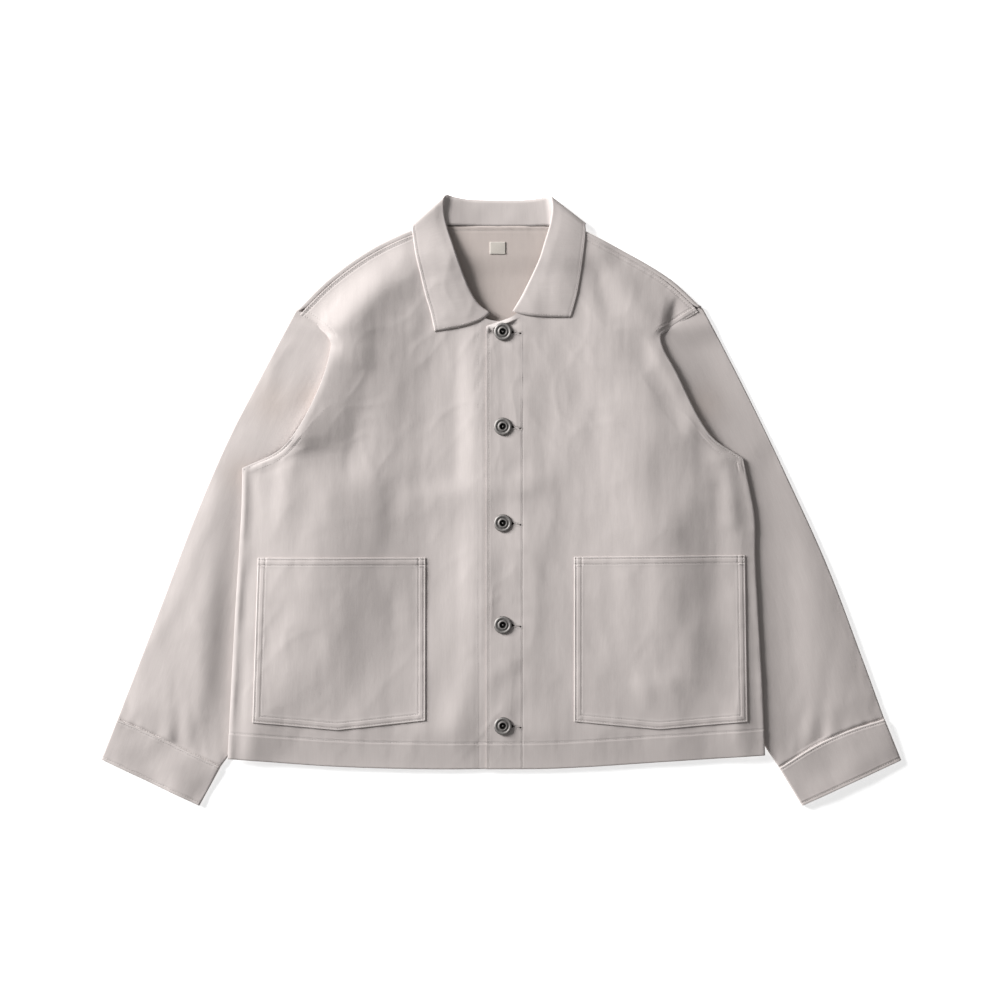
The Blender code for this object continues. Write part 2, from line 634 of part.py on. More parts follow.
JACKET = bpy.data.collections.new("chore_jacket")
bpy.context.scene.collection.children.link(JACKET)
FABRIC = material("cotton_twill", CLOTH_COLOUR, 0.9, 0.0)
LABEL = material("label_tape", LABEL_COLOUR, 0.85, 0.0)
METAL = material("button_metal", METAL_COLOUR, 0.4, 0.9)

make_back()
make_collar()
for wearer_side in SIDES:
    make_front(wearer_side)
    make_sleeve(wearer_side)
    make_cuff(wearer_side)
    make_pocket(wearer_side)
make_buttons()
make_label()
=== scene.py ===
# %% [markdown]
# A chore jacket of pale cotton drill lies buttoned on a white table, seen from straight above. The packed
# solids give its true form. They could be shown as they are, but cloth needs finer folds, seams and weave,
# so each cloth solid is replaced by a thin shell on the same outline, at nearly the same heights.

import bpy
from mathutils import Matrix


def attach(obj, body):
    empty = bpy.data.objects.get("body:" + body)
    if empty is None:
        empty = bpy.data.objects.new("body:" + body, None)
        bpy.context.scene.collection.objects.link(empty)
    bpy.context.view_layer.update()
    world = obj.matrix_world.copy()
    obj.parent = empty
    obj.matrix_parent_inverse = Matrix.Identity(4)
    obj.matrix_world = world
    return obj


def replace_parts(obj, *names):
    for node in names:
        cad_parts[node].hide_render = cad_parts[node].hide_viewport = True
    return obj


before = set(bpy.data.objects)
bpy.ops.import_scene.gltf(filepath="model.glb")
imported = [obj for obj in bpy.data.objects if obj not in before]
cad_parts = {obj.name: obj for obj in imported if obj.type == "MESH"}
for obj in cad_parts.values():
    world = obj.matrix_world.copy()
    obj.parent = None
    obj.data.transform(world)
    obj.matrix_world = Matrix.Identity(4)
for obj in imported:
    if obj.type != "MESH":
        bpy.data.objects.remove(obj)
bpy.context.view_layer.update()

# %% [markdown]
# The tables below use millimetres in the jacket's own drawing: x grows to the picture's right from the centre
# front, y grows towards the collar, z is the height over the table. Drawing in whole millimetres keeps the
# numbers readable. One function at the end of the line turns them into metres in the shared frame.

# %% Units and the way into the frame
import math

import bmesh
import bpy
import numpy as np

MM = 0.001
BOX_CENTRE = (-1.0, 0.125, 0.0)


def to_frame(points):
    """Drawing millimetres to frame metres: centre, then scale."""
    return (points - BOX_CENTRE) * MM


print("the drawing's zero lies at", to_frame(np.zeros(3)), "in the frame")

# %% [markdown]
# The photograph is taken from straight above with a long lens, so the outline has almost no perspective. The
# camera could be orthographic. A perspective camera 2.7 m up is used, because other views keep its lens. Its
# frame is 1.15 m wide at the height of the cloth.

# %% Camera
FRAME_WIDTH = 1.15
SENSOR = 36.0
LENS = 85.0
CLOTH_HEIGHT = 0.006
CAMERA_PLACE = (-0.0013, 0.00045)

camera_data = bpy.data.cameras.new("camera")
camera_data.sensor_width = SENSOR
camera_data.lens = LENS
camera = bpy.data.objects.new("camera", camera_data)
camera.location = (*CAMERA_PLACE, CLOTH_HEIGHT + FRAME_WIDTH * LENS / SENSOR)
bpy.context.scene.collection.objects.link(camera)
bpy.context.scene.camera = camera
print("camera at", tuple(round(v, 4) for v in camera.location))

# %% [markdown]
# A garment is a few outlines. Each front is a hem, a side, an armhole, a shoulder and a neck curve, and each
# sleeve is an outer and an inner edge between its armhole end and its cuff. They could be traced point by
# point. Here each line has only the points that its bends need, and a smooth curve runs through them. In
# these tables x counts outwards from the centre front, so both sides share their functions. "right" is the
# wearer's right, at the picture's left.

# %% Outlines of the pieces
SIDES = {
    "right": {
        "sign": -1.0,
        "hem": ((-23, -308), (74, -309), (191, -306), (315, -297)),
        "side": ((315, -297), (306, -127), (299, -11), (298, 37)),
        "armhole": ((298, 37), (250, 62), (214, 120), (196, 176), (202, 191), (232, 214)),
        "fold": ((75, 323), (144, 293), (198, 256), (236, 219)),
        "wrap": 5.0,
        "neck": ((-23, 204), (2, 206), (18, 209), (30, 219), (42, 236), (56, 262), (69, 290), (73, 315)),
        "outer": ((238, 217.5), (284, 131), (319, 62), (356, -25), (391, -117), (443, -252)),
        "end": ((238, 217.5), (224, 208.5), (204, 198.5), (188.5, 186.5), (187, 170), (193.5, 150),
                (204, 118), (217, 84), (226, 50), (229, -22)),
        "inner": ((229, -22), (230, -80), (240, -149), (267, -212), (301, -273), (325, -307)),
        "cuff_seam": ((443, -252), (404, -269), (371, -285), (325, -307)),
        "cuff_end": ((461, -298), (349, -351)),
        "pocket": ((88, -66), (280, -66), (286, -255), (189, -264), (88, -253)),
        "shoulder_rows": 9.5,
    },
    "left": {
        "sign": 1.0,
        "hem": ((-18, -309), (67, -308), (195, -300), (302, -293)),
        "side": ((302, -293), (299, -212), (291, -67), (290, -17), (277, 48)),
        "armhole": ((277, 48), (238, 76), (200, 147), (182, 187), (196, 198), (226, 217)),
        "fold": ((69, 323), (128, 293), (191, 256), (229, 222)),
        "wrap": 3.5,
        "neck": ((-18, 200), (-2, 206), (13, 212), (25, 224), (40, 243), (54, 274), (66, 313)),
        "outer": ((231.5, 219.5), (256, 173), (284, 118), (324, 35), (374, -75), (416, -186), (440, -252)),
        "end": ((231.5, 219.5), (214, 211.5), (195, 203.5), (176, 195), (173.5, 180), (179, 167),
                (190, 143), (206, 109), (222, 76), (229, -22)),
        "inner": ((229, -22), (230, -80), (240, -149), (262, -212), (297, -273), (320, -308)),
        "cuff_seam": ((440, -252), (400, -265), (362, -282), (320, -308)),
        "cuff_end": ((459, -299), (346, -351)),
        "pocket": ((83, -65), (279, -63), (282, -254), (180, -263), (83, -254)),
        "shoulder_rows": 8.5,
    },
}
BACK_ARMHOLE = {
    "right": ((297, 36), (252, 53), (220, 67), (213, 88), (200.5, 118), (190, 150), (183.6, 170),
              (183, 189.5), (202, 202), (222.5, 211.5), (236, 219.5)),
    "left": ((276, 47), (254, 57), (220, 69), (214, 82), (201, 109), (186.5, 143), (175.5, 167),
             (170, 180), (171.5, 198), (194, 207), (213, 214.2), (229.5, 221.5)),
}
for wearer_side, table in SIDES.items():
    print(wearer_side, "side:", sum(isinstance(line, tuple) for line in table.values()), "outlines")

# %% [markdown]
# Small helpers shape everything: a smooth step, a bell, and a smooth curve through points that can be sampled
# at any share of its length. Blender's own curves could do the last, but an array of plan points is easier to
# stretch a grid between.

# %% Steps, bells and curves
CURVE_STEPS = 32
TINY = 1e-9


def ease(value):
    """A smooth step: 3v^2 - 2v^3 from 0 to 1, and level beyond."""
    value = np.clip(value, 0.0, 1.0)
    return value * value * (3.0 - 2.0 * value)


def ramp(value, start, end):
    """A smooth step that is 0 up to start and 1 from end on, in whichever direction end lies."""
    return ease((value - start) / (end - start))


def bell(distance, width):
    """1 at no distance, falling off as exp of minus the squared distance in widths."""
    return np.exp(-(distance / width) ** 2)


def dome(share):
    """0 at both ends and 1 in the middle: 1 - (2s - 1)^2."""
    return 1.0 - (2.0 * share - 1.0) ** 2


def unit(vectors):
    """Vectors of length 1 that point the same ways."""
    return vectors / np.linalg.norm(vectors, axis=-1, keepdims=True)


def travel(points):
    """Distance travelled at each point of a line, or down each column of a grid."""
    steps = np.linalg.norm(np.diff(points, axis=0), axis=-1)
    return np.concatenate((np.zeros_like(steps[:1]), np.cumsum(steps, axis=0)))


def places_on(line, distances):
    """Points of a line at distances along it."""
    travelled = travel(line)
    return np.stack([np.interp(distances, travelled, column) for column in line.T], axis=1)


def between(start, end, shares):
    """Points at shares of the way from one point to another."""
    return start + (end - start) * shares[:, None]


def cubic(start, leaving, end, arriving, share):
    """A cubic between two places: it leaves the one and arrives at the other along the given slopes."""
    square, cube = share ** 2, share ** 3
    return ((2 * cube - 3 * square + 1) * start + (cube - 2 * square + share) * leaving
            + (3 * square - 2 * cube) * end + (cube - square) * arriving)


def curve(points, shares):
    """Points at shares of the length of a curve: cubics whose ends point from the last point to the next."""
    points = np.array(points, float)
    padded = np.vstack((2 * points[0] - points[1], points, 2 * points[-1] - points[-2]))
    steps = np.linspace(0.0, 1.0, CURVE_STEPS + 1)[:, None]
    stretches = []
    for before, start, end, after in zip(padded, padded[1:], padded[2:], padded[3:]):
        reach = np.linalg.norm(end - start)
        leaving = (end - before) / max(np.linalg.norm(end - before), TINY) * reach
        arriving = (after - start) / max(np.linalg.norm(after - start), TINY) * reach
        stretches.append(cubic(start, leaving, end, arriving, steps))
    dense = np.vstack(stretches)
    return places_on(dense, np.asarray(shares) * travel(dense)[-1])


def line_of(points, cells=60):
    """Evenly spaced points on the smooth curve through the given ones."""
    return curve(points, np.linspace(0.0, 1.0, cells + 1))


side_seam = line_of(SIDES["right"]["side"])
print("right side seam, in mm:", round(travel(side_seam)[-1]))

# %% [markdown]
# A panel's plan is a grid stretched between its four edges. Seams need cells of under a millimetre and open
# cloth only of four, so the grid lines are spread unevenly: close together beside the edges that carry
# stitching. The stretch adds the two pairs of edges and takes away what the corners count twice.

# %% Plan grids


def spread(*runs):
    """Shares of a length at the cell borders, from runs of (length, cell size) in mm."""
    counts = [max(1, round(length / size)) for length, size in runs]
    cells = np.concatenate([np.full(count, run[0] / count) for count, run in zip(counts, runs)])
    reach = np.concatenate(([0.0], np.cumsum(cells)))
    return reach / reach[-1]


def with_corner(shares, *corners):
    """The same shares with the corners' own shares put in, so that a corner keeps its point."""
    kept = [share for share in shares if min(abs(share - corner) for corner in corners) > 0.001]
    return np.sort(np.append(kept, corners))


def bent_edge(shares, first, second, corner):
    """An edge of two curves that meet at a corner share."""
    before = shares <= corner + TINY
    return np.vstack((curve(first, shares[before] / corner),
                      curve(second, (shares[~before] - corner) / (1 - corner))))


def patch(bottom, top, start, end, u, v, near=(1, 1)):
    """Sum of the blends between both pairs of edges, less the blend of the four corners.

    A higher power in near keeps the bottom's or the top's own shape closer to that edge.
    """
    u = u[None, :, None]
    v = v[:, None, None]
    from_bottom = (1 - v) ** near[0]
    from_top = v ** near[1]
    edges = from_bottom * bottom + from_top * top + (1 - u) * start[:, None] + u * end[:, None]
    corners = ((1 - u) * (from_bottom * bottom[0] + from_top * top[0])
               + u * (from_bottom * bottom[-1] + from_top * top[-1]))
    return edges - corners


print("a 10 mm run in 2 mm cells, then 20 mm in 5 mm cells:", np.round(spread((10, 2), (20, 5)), 2))

# %% [markdown]
# Folds and seams are measured from lines. For each point of a grid this finds the nearest place on a line,
# how far along it lies and on which side. A distance field like this could come from a modifier, but as an
# array it works for creases, welts, stitch grooves and puckers alike.

# %% Distance to a line


def beside(line, x, y):
    """Distance to a line of points, distance travelled along it, and the side (1 at the left, -1 right)."""
    line = np.asarray(line, float)
    run = np.diff(line, axis=0)
    lengths = np.maximum(np.linalg.norm(run, axis=1), TINY)
    travelled = np.concatenate(([0.0], np.cumsum(lengths)[:-1]))
    points = np.stack((np.ravel(x), np.ravel(y)), axis=1)[:, None]
    off = points - line[:-1]
    share = np.clip((off * run).sum(axis=2) / lengths ** 2, 0.0, 1.0)
    off = off - share[..., None] * run
    gap = np.hypot(off[..., 0], off[..., 1])
    best = gap.argmin(axis=1)
    pick = np.arange(len(best))
    turn = run[best, 0] * off[pick, best, 1] - run[best, 1] * off[pick, best, 0]
    shape = np.shape(x)
    along = travelled[best] + share[pick, best] * lengths[best]
    return gap[pick, best].reshape(shape), along.reshape(shape), np.where(turn >= 0, 1.0, -1.0).reshape(shape)


gap_test = beside(((0, 0), (10, 0)), np.array([4.0]), np.array([3.0]))
print("a point 3 mm to the left of a line, 4 mm along it:", [float(value[0]) for value in gap_test])

# %% [markdown]
# Washed cotton is never quite even. A lattice of random heights, blended smoothly, gives soft unevenness, and
# long narrow cells turn it into the faint upright streaks of slub yarn. Blender's noise could displace the
# mesh. The lattice is used because the same heights also place what lies on the cloth.

# %% Soft unevenness
NOISE_CELLS = 97


def ripple(x, y, size, seed):
    """Random heights from -1 to 1 on a lattice of cells of this size, blended with the smooth step."""
    lattice = np.random.default_rng(seed).uniform(-1.0, 1.0, (NOISE_CELLS, NOISE_CELLS))
    across, up = np.asarray(x) / size[0], np.asarray(y) / size[1]
    column, row = np.floor(across).astype(int), np.floor(up).astype(int)
    share_x, share_y = ease(across - column), ease(up - row)

    def value(right, above):
        return lattice[(column + right) % NOISE_CELLS, (row + above) % NOISE_CELLS]

    low = value(0, 0) * (1 - share_x) + value(1, 0) * share_x
    high = value(0, 1) * (1 - share_x) + value(1, 1) * share_x
    return low * (1 - share_y) + high * share_y


def rippled(x, y, rows):
    """Sum of ripples, from rows of height, cell size and seed."""
    return sum(height * ripple(x, y, size, seed) for height, size, seed in rows)


def crumple(x, y, seed, height=0.24):
    """Fine washed-in creases: sharp low ridges along the lines where two soft fields change sign."""
    wander = 9.0 * ripple(x, y, (31.0, 31.0), seed + 1)
    upright = 1.0 - np.abs(ripple(x + wander, y, (24.0, 60.0), seed + 2))
    slanted = 1.0 - np.abs(ripple(np.abs(x) + 0.7 * y, y - wander, (30.0, 44.0), seed + 3))
    return height * (upright ** 4 + slanted ** 4) * (0.6 + 0.4 * ripple(x, y, (50.0, 50.0), seed + 4))


def puckers(along, away, seed, height, cell=7.0, reach=9.0):
    """Ripples across a seam, uneven along it, that fade with the distance from it."""
    return height * ripple(along, away, (cell, 30.0), seed) * np.exp(-np.abs(away) / reach)


print("ripple at three places:", np.round(ripple(np.array([3.0, 9, 15]), np.zeros(3), (7.0, 7.0), 4), 2))

# %% [markdown]
# The folds are listed one by one, each as a soft line over the cloth: a path in the drawing, its height (a
# trough is negative) and its width on the path's left and right. A steep flank and a shallow one make a fold
# lean. They could come from a cloth simulation, but then they wouldn't fall where the photograph has them.

# %% Folds of the fronts
FOLDS = {
    "right": (
        # the ridge that runs from the collar down towards the armhole
        (((-110, 295), (-150, 250), (-172, 210), (-192, 150)), 4.8, 40, 40),
        # the hollow beside it, from the chest down to the hem, and a smaller one near the placket
        (((-60, 290), (-75, 150), (-75, 40), (-90, -60), (-110, -300)), -4.0, 105, 65),
        (((-75, 200), (-80, 120), (-75, 40)), -1.0, 40, 30),
        # the roll from the waist down over the pocket
        (((-140, 80), (-175, -20), (-180, -100), (-200, -180), (-225, -300)), 3.0, 40, 55),
        # pulls from the underarm: one across, one down
        (((-240, 50), (-200, 45), (-150, 35)), -1.5, 40, 20),
        (((-230, 80), (-245, 20), (-255, -50)), 1.0, 15, 12),
        # beside the side seam, beside the collar's leaf, and low on the pocket
        (((-280, 20), (-285, -40), (-285, -110)), -0.8, 15, 12),
        (((-95, 230), (-110, 180)), 0.8, 12, 20),
        (((-210, -140), (-250, -200)), -0.6, 20, 15),
        # across the waist, and from the hem up to the placket
        (((-130, 0), (-60, 5), (20, 20)), 1.2, 15, 25),
        (((-80, -290), (-40, -240), (0, -170)), 1.0, 20, 40),
    ),
    "left": (
        # the roll down the chest and the pocket, and the hollow behind it
        (((140, 270), (165, 150), (165, 40), (170, -60), (180, -140), (195, -200), (190, -300)), 4.4, 36, 50),
        (((245, 50), (250, -60), (252, -180), (252, -300)), -1.8, 35, 25),
        # from the underarm across to the pocket, and low on the pocket
        (((240, 40), (205, -10), (165, -70)), 1.2, 25, 25),
        (((150, -230), (180, -210), (200, -195)), 0.7, 15, 20),
        # below the shoulder: beside the collar, and beside the armhole
        (((100, 310), (115, 250), (135, 190)), -1.2, 15, 12),
        (((125, 290), (150, 240), (165, 190)), 1.0, 15, 15),
        # the dent beside the shoulder's tip, and the edge that hangs over it
        (((210, 246), (198, 220), (192, 190)), -3.4, 16, 4.5),
        (((192, 246), (183, 215), (178, 182)), 1.0, 4.5, 20),
        (((150, 200), (180, 140), (215, 80)), -1.0, 12, 15),
        # short pulls below the underarm
        (((250, 50), (250, 0)), -0.8, 12, 12),
        (((260, 10), (265, -40)), 0.6, 12, 12),
        # across the waist, and across the placket below the fourth button
        (((-40, 15), (20, 15), (70, 30)), 1.0, 15, 15),
        (((20, -180), (-20, -210)), 0.6, 12, 12),
    ),
}
FOLD_TAPER = 0.35


def folds(table, x, y):
    """Sum of bells across each path, tapered to nothing at both of its ends."""
    height = np.zeros(np.shape(x))
    for path, rise, left_width, right_width in table:
        line = line_of(path, 8 * (len(path) - 1))
        length = travel(line)[-1]
        gap, along, hand = beside(line, x, y)
        share = along / length
        taper = ease(share / FOLD_TAPER) * ease((1 - share) / FOLD_TAPER)
        height = height + rise * taper * bell(gap, np.where(hand > 0, left_width, right_width))
    return height


print(sum(len(table) for table in FOLDS.values()), "folds on the fronts")

# %% [markdown]
# Laid out, the jacket is a stack: back, sleeves, fronts, collar and pockets. Each layer's height is a level
# over the table, and it rises where it lies on another. The fronts rise over the sleeves that are folded in
# under their sides, and over the collar's fall at the neck. The levels could be the solids' own. They differ
# from them by up to a few millimetres where the lamp shows it: at the armholes, the folds and the lap.

# %% Levels of the layers
CLOTH = 1.2
THIN_CLOTH = 0.8
COLLAR_CLOTH = 1.1
CUFF_CLOTH = 1.7
REST = CLOTH / 2
SEAM = 0.3
FRONT_LEVEL = 4.2
LAP_X = (-55.0, -20.0)
UNDER_LAP_X = (48.0, 18.0)
OVERLAP_DROP = 1.0
SLEEVE_LIFT = 4.7
LIFT_INSIDE = (-70.0, -10.0)
LIFT_Y = (121.0, 73.0)
FRONT_SHARE = 0.65
COLLAR_LIFT = 2.1
COLLAR_X = (140.0, 110.0)
COLLAR_Y = (255.0, 285.0)
ARMHOLE_RISE = {"right": 5.6, "left": 2.6}
ROLL_REACH = {"right": 78.0, "left": 38.0}
ROLL_LOW_Y = (45.0, 75.0)
ROLL_HIGH_Y = (194.0, 154.0)
FOLD_BASE = 4.2
FOLD_GAIN = 1.45
HELD_AT_SIDE = {"right": 0.5, "left": 0.2}
FORM_AT_ARMHOLE = 0.5
FORM_AT_HEM = 0.35
ARMHOLE_Y = (60.0, 100.0)
SHOULDER_TIP_Y = (206.0, 186.0)
SIDE_CALM = 32.0
ARMHOLE_CALM = 18.0
SHOULDER_CALM = 54.0
HEM_CALM = 50.0
FRONT_RIPPLES = ((0.60, (40.0, 80.0), 11), (0.32, (18.0, 42.0), 12), (0.04, (5.0, 40.0), 13))
BUTTON_X = 1.0
BUTTON_Y = (194.0, 85.0, -26.0, -143.0, -259.0)
BUTTON_DIP = 0.7
DIP_WIDTH = 15.0
DIP_SQUASH = 1.15
HEM_Y = -309.0
HEM_DEPTH = 30.0
PLACKET_EDGE = SIDES["left"]["hem"][0][0]
PLACKET_WIDTH = 41.0
EDGE = {side: np.vstack((line_of(table["side"]), line_of(table["armhole"])[1:]))
        for side, table in SIDES.items()}


def edge_x(side, y):
    """How far out the body's side and armhole edge lies at each y."""
    table = np.array(SIDES[side]["side"] + SIDES[side]["armhole"][1:], float)
    return np.interp(y, table[:, 1], table[:, 0])


def hidden_x(side, y):
    """How far out the sleeve's inner fold, under the body, lies at each y."""
    table = np.array(SIDES[side]["inner"][::-1] + ((226, 60),), float)
    return np.interp(y, table[:, 1], table[:, 0])


def over_sleeve(side, x, y):
    """Rise of the back where it lies on the sleeve, with a soft ramp towards the centre."""
    return SLEEVE_LIFT * ramp(x - hidden_x(side, y), *LIFT_INSIDE) * ramp(y, *LIFT_Y)


def over_collar(x, y):
    """Rise of the body round the neck, where the collar's fall lies under it."""
    return COLLAR_LIFT * ramp(np.abs(x), *COLLAR_X) * ramp(y, *COLLAR_Y)


def body_folds(side, x, y):
    """Rise of a front over its seams' level: folds and soft unevenness, calm at its edges.

    Where the fronts lap, the under one follows the upper one.
    """
    picture_x = SIDES[side]["sign"] * x
    form = folds(FOLDS["left"], picture_x, y)
    if side == "right":
        own = folds(FOLDS["right"], picture_x, y)
        form = own + (form - own) * ramp(picture_x, *LAP_X)
    form = form + rippled(picture_x, y, FRONT_RIPPLES) + crumple(picture_x, y, 14)
    inside = edge_x(side, y) - x
    shoulder = beside(line_of(SIDES[side]["fold"], 24), x, y)[0]
    high = ramp(y, *ARMHOLE_Y)
    below_shoulder = ramp(y, *SHOULDER_TIP_Y)
    by_edge = ease((inside + 2.0) / (SIDE_CALM - (SIDE_CALM - ARMHOLE_CALM) * high))
    held = by_edge + (1.0 - by_edge) * (HELD_AT_SIDE[side] * (1.0 - high) + high) * below_shoulder
    kept = by_edge + (1.0 - by_edge) * FORM_AT_ARMHOLE * high * below_shoulder
    calm = ease(shoulder / SHOULDER_CALM) * (FORM_AT_HEM + (1.0 - FORM_AT_HEM) * ease((y - HEM_Y) / HEM_CALM))
    return calm * (held * FOLD_BASE + kept * FOLD_GAIN * form)


def front_form(side, x, y):
    """Height of a front without its seams: base, lifts, armhole roll, lap at the centre and folds."""
    level = FRONT_LEVEL + FRONT_SHARE * over_sleeve(side, x, y) + over_collar(x, y)
    inside = edge_x(side, y) - x
    roll = ease(1 - inside / ROLL_REACH[side]) * ramp(y, *ROLL_LOW_Y) * ramp(y, *ROLL_HIGH_Y)
    level = level + ARMHOLE_RISE[side] * roll
    if side == "right":
        level = level - OVERLAP_DROP * ramp(x, *UNDER_LAP_X)
    for button_y in BUTTON_Y:
        away = np.hypot(SIDES[side]["sign"] * x - BUTTON_X, DIP_SQUASH * (y - button_y))
        level = level - BUTTON_DIP * bell(away, DIP_WIDTH)
    return level + body_folds(side, x, y)


for wearer_side in SIDES:
    chest = front_form(wearer_side, np.array(120.0), np.array(60.0))
    print("front level at mid chest,", wearer_side, round(float(chest), 2))

# %% [markdown]
# A seam shows as a shallow groove where the stitches pull the cloth down, with a slightly raised band beside
# it where the turned-in cloth lies double. The grooves and bands are cut into the shells. Bump could draw
# them, but real relief also catches the low light at the side views.

# %% Seams of the fronts
GROOVE_WIDTH = 0.9
GROOVE_DEPTH = 0.34
EDGE_ROLL = {"right": (6.5, 0.6), "left": (1.6, 0.5)}
SIDE_RIDGE = {"right": 0.8, "left": 0.3}
PLACKET_EDGE_ROW = 2.8
UNDER_FRONT_ROW = 28.0
ARMHOLE_ROWS = (1.9, 8.2)
ARMHOLE_BAND = 9.4
WELT_ENDS = {"right": (78.0, 186.0), "left": (82.0, 194.0)}
WELT_FADES = (14.0, 8.0)
WELT_Y = (30.0, 36.0)
SIDE_RIDGE_Y = (70.0, 30.0)
THROAT_LENGTH = 36.0
THROAT_WIDTH = 4.4
THROAT_RISE = 2.3


def groove(distance):
    """The pull of one row of stitches, with the cloth slightly raised on both sides of it."""
    return -GROOVE_DEPTH * bell(distance, GROOVE_WIDTH) + 0.08 * bell(np.abs(distance) - 2.0, 1.0)


def band(distance, width, rise, step):
    """A band of double cloth beside a line: raised up to its width, where a soft step ends it."""
    return rise * ease((width - distance) / step)


def round_over(gap, radius):
    """Drop of a surface that bends down round a quarter circle at its edge."""
    return -radius * (1.0 - np.sqrt(np.clip(1.0 - np.clip(1.0 - gap / radius, 0.0, 1.0) ** 2, 0.0, 1.0)))


def soft_edge(gap, reach, drop):
    """Drop of a surface that sinks towards its edge, as the square of the share of the reach."""
    return -drop * np.clip(1.0 - gap / reach, 0.0, 1.0) ** 2


def armhole_welt(side, y):
    """Where the armhole's double stitching shows: beside the shoulder tip and towards the underarm."""
    low, high = WELT_ENDS[side]
    return np.clip(ease((low - y) / WELT_FADES[0]) + ease((y - high) / WELT_FADES[1]), 0.0, 1.0)


def front_level(side, x, y):
    """Height of a front with its seams: hem, placket or facing row, armhole welt, side roll and neck edge."""
    data = SIDES[side]
    level = front_form(side, x, y)
    hem, hem_along, _ = beside(line_of(data["hem"]), x, y)
    level = level + band(hem, HEM_DEPTH + 0.8, 0.15, 2.4) + groove(hem - HEM_DEPTH)
    level = level + puckers(hem_along, hem - HEM_DEPTH, 21, 0.22) + round_over(hem, 1.2)
    edge, edge_along, _ = beside(EDGE[side], x, y)
    welt = armhole_welt(side, y) * ramp(y, *WELT_Y)
    for row in ARMHOLE_ROWS:
        level = level + welt * groove(edge - row)
    level = level + welt * band(edge, ARMHOLE_BAND, 0.2, 1.2) + soft_edge(edge, *EDGE_ROLL[side])
    uneven = 0.75 + 0.6 * ripple(edge_along, edge, (34.0, 40.0), 26)
    below = ramp(y, *SIDE_RIDGE_Y) * SIDE_RIDGE[side] * uneven
    level = level + below * (bell(edge - 3.0, 3.5) - 0.8 * bell(edge - 13.0, 6.0))
    level = level + puckers(edge_along, edge, 22, 0.22, reach=7.0)
    shoulder, shoulder_along, _ = beside(line_of(data["fold"]), x, y)
    level = level + groove(shoulder - data["shoulder_rows"])
    level = level + band(shoulder, data["shoulder_rows"] + 0.9, 0.15, 1.4)
    level = level + puckers(shoulder_along, shoulder - data["shoulder_rows"], 23, 0.15, cell=5.0, reach=5.0)
    if side == "left":
        placket = x - PLACKET_EDGE
        level = level + band(placket, PLACKET_WIDTH + 0.6, 0.12, 1.8)
        level = level + 0.45 * groove(placket - PLACKET_EDGE_ROW) + 0.5 * groove(placket - PLACKET_WIDTH)
        level = level + puckers(y, placket - PLACKET_WIDTH, 24, 0.3, cell=9.0)
        neck, neck_along, _ = beside(line_of(data["neck"]), x, y)
        turned = ease((THROAT_LENGTH - neck_along) / 10.0)
        flat_end = 1.0 - ease((neck - THROAT_WIDTH) / 1.4)
        strip = THROAT_RISE * np.clip(neck / THROAT_WIDTH, 0.0, 1.0) * flat_end
        level = level + turned * (strip - 0.8 * ease(placket / 12.0) * bell(neck - 8.5, 3.2))
    else:
        level = level + groove(x - UNDER_FRONT_ROW) + puckers(y, x - UNDER_FRONT_ROW, 25, 0.18, cell=10.0)
    return level


print("armhole rows lie", ARMHOLE_ROWS, "mm inside the edge")

# %% [markdown]
# Every cloth piece is built the same way: a grid of points becomes quads, gets the weave's own coordinates in
# metres along the grain, and a Solidify modifier gives it its thickness on both sides. One function does it
# for open sheets and for closed tubes, whose last column joins the first.

# %% From a grid of points to a cloth shell
GRIDS = {}


def quads_of(rows, columns):
    """Corner numbers of the cells of a grid, anticlockwise."""
    number = np.arange(rows * columns).reshape(rows, columns)
    return np.stack((number[:-1, :-1], number[:-1, 1:], number[1:, 1:], number[1:, :-1]), axis=-1)


def mesh_of(name, points, faces):
    """A mesh from points in mm and the four corner numbers of each face."""
    mesh = bpy.data.meshes.new(name)
    mesh.from_pydata(to_frame(points).reshape(-1, 3).tolist(), [], faces.reshape(-1, 4).tolist())
    return mesh


def set_mark(mesh, name, values):
    """Store a number with each point of a mesh, for its finish to read."""
    mesh.attributes.new(name, "FLOAT", "POINT").data.foreach_set("value", values.astype(np.float32))


def new_object(name, mesh, finish):
    """An object at the origin that moves with the jacket and takes its finish from a slot."""
    mesh.materials.append(finish)
    mesh.shade_smooth()
    piece = bpy.data.objects.new(name, mesh)
    bpy.context.scene.collection.objects.link(piece)
    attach(piece, "root")
    return piece


def cloth(name, grid, grain, thickness, finish, sign=1.0, closed=False, keep=None, marks=None):
    """A shell over a grid of points: quads, grain coordinates, marks for the finish, and thickness.

    grid is rows x columns x 3 in mm, mirrored by a sign of -1. grain has the same rows and columns, or one
    column more on a tube.
    """
    placed = grid * (sign, 1.0, 1.0)
    GRIDS[name] = placed
    rows, columns = grid.shape[:2]
    corners = quads_of(rows, columns + closed)
    corners = corners.reshape(-1, 4) if keep is None else corners[keep]
    if sign < 0:
        corners = corners[:, ::-1]
    row, column = np.divmod(corners, columns + closed)
    used, faces = np.unique(row * columns + column % columns, return_inverse=True)
    mesh = mesh_of(name, placed.reshape(-1, 3)[used], faces)
    weave = grain.reshape(-1, 2)[corners.ravel()] * MM
    mesh.uv_layers.new(name="grain").data.foreach_set("uv", weave.astype(np.float32).ravel())
    for mark, values in (marks or {}).items():
        set_mark(mesh, mark, np.broadcast_to(values, grid.shape[:2]).ravel()[used])
    piece = new_object(name, mesh, finish)
    wall = piece.modifiers.new("cloth thickness", "SOLIDIFY")
    wall.thickness = thickness * MM
    wall.offset = 0.0
    print(f"{name}: {len(mesh.polygons)} cells")
    return piece


print("shells are", CLOTH, "mm thick")

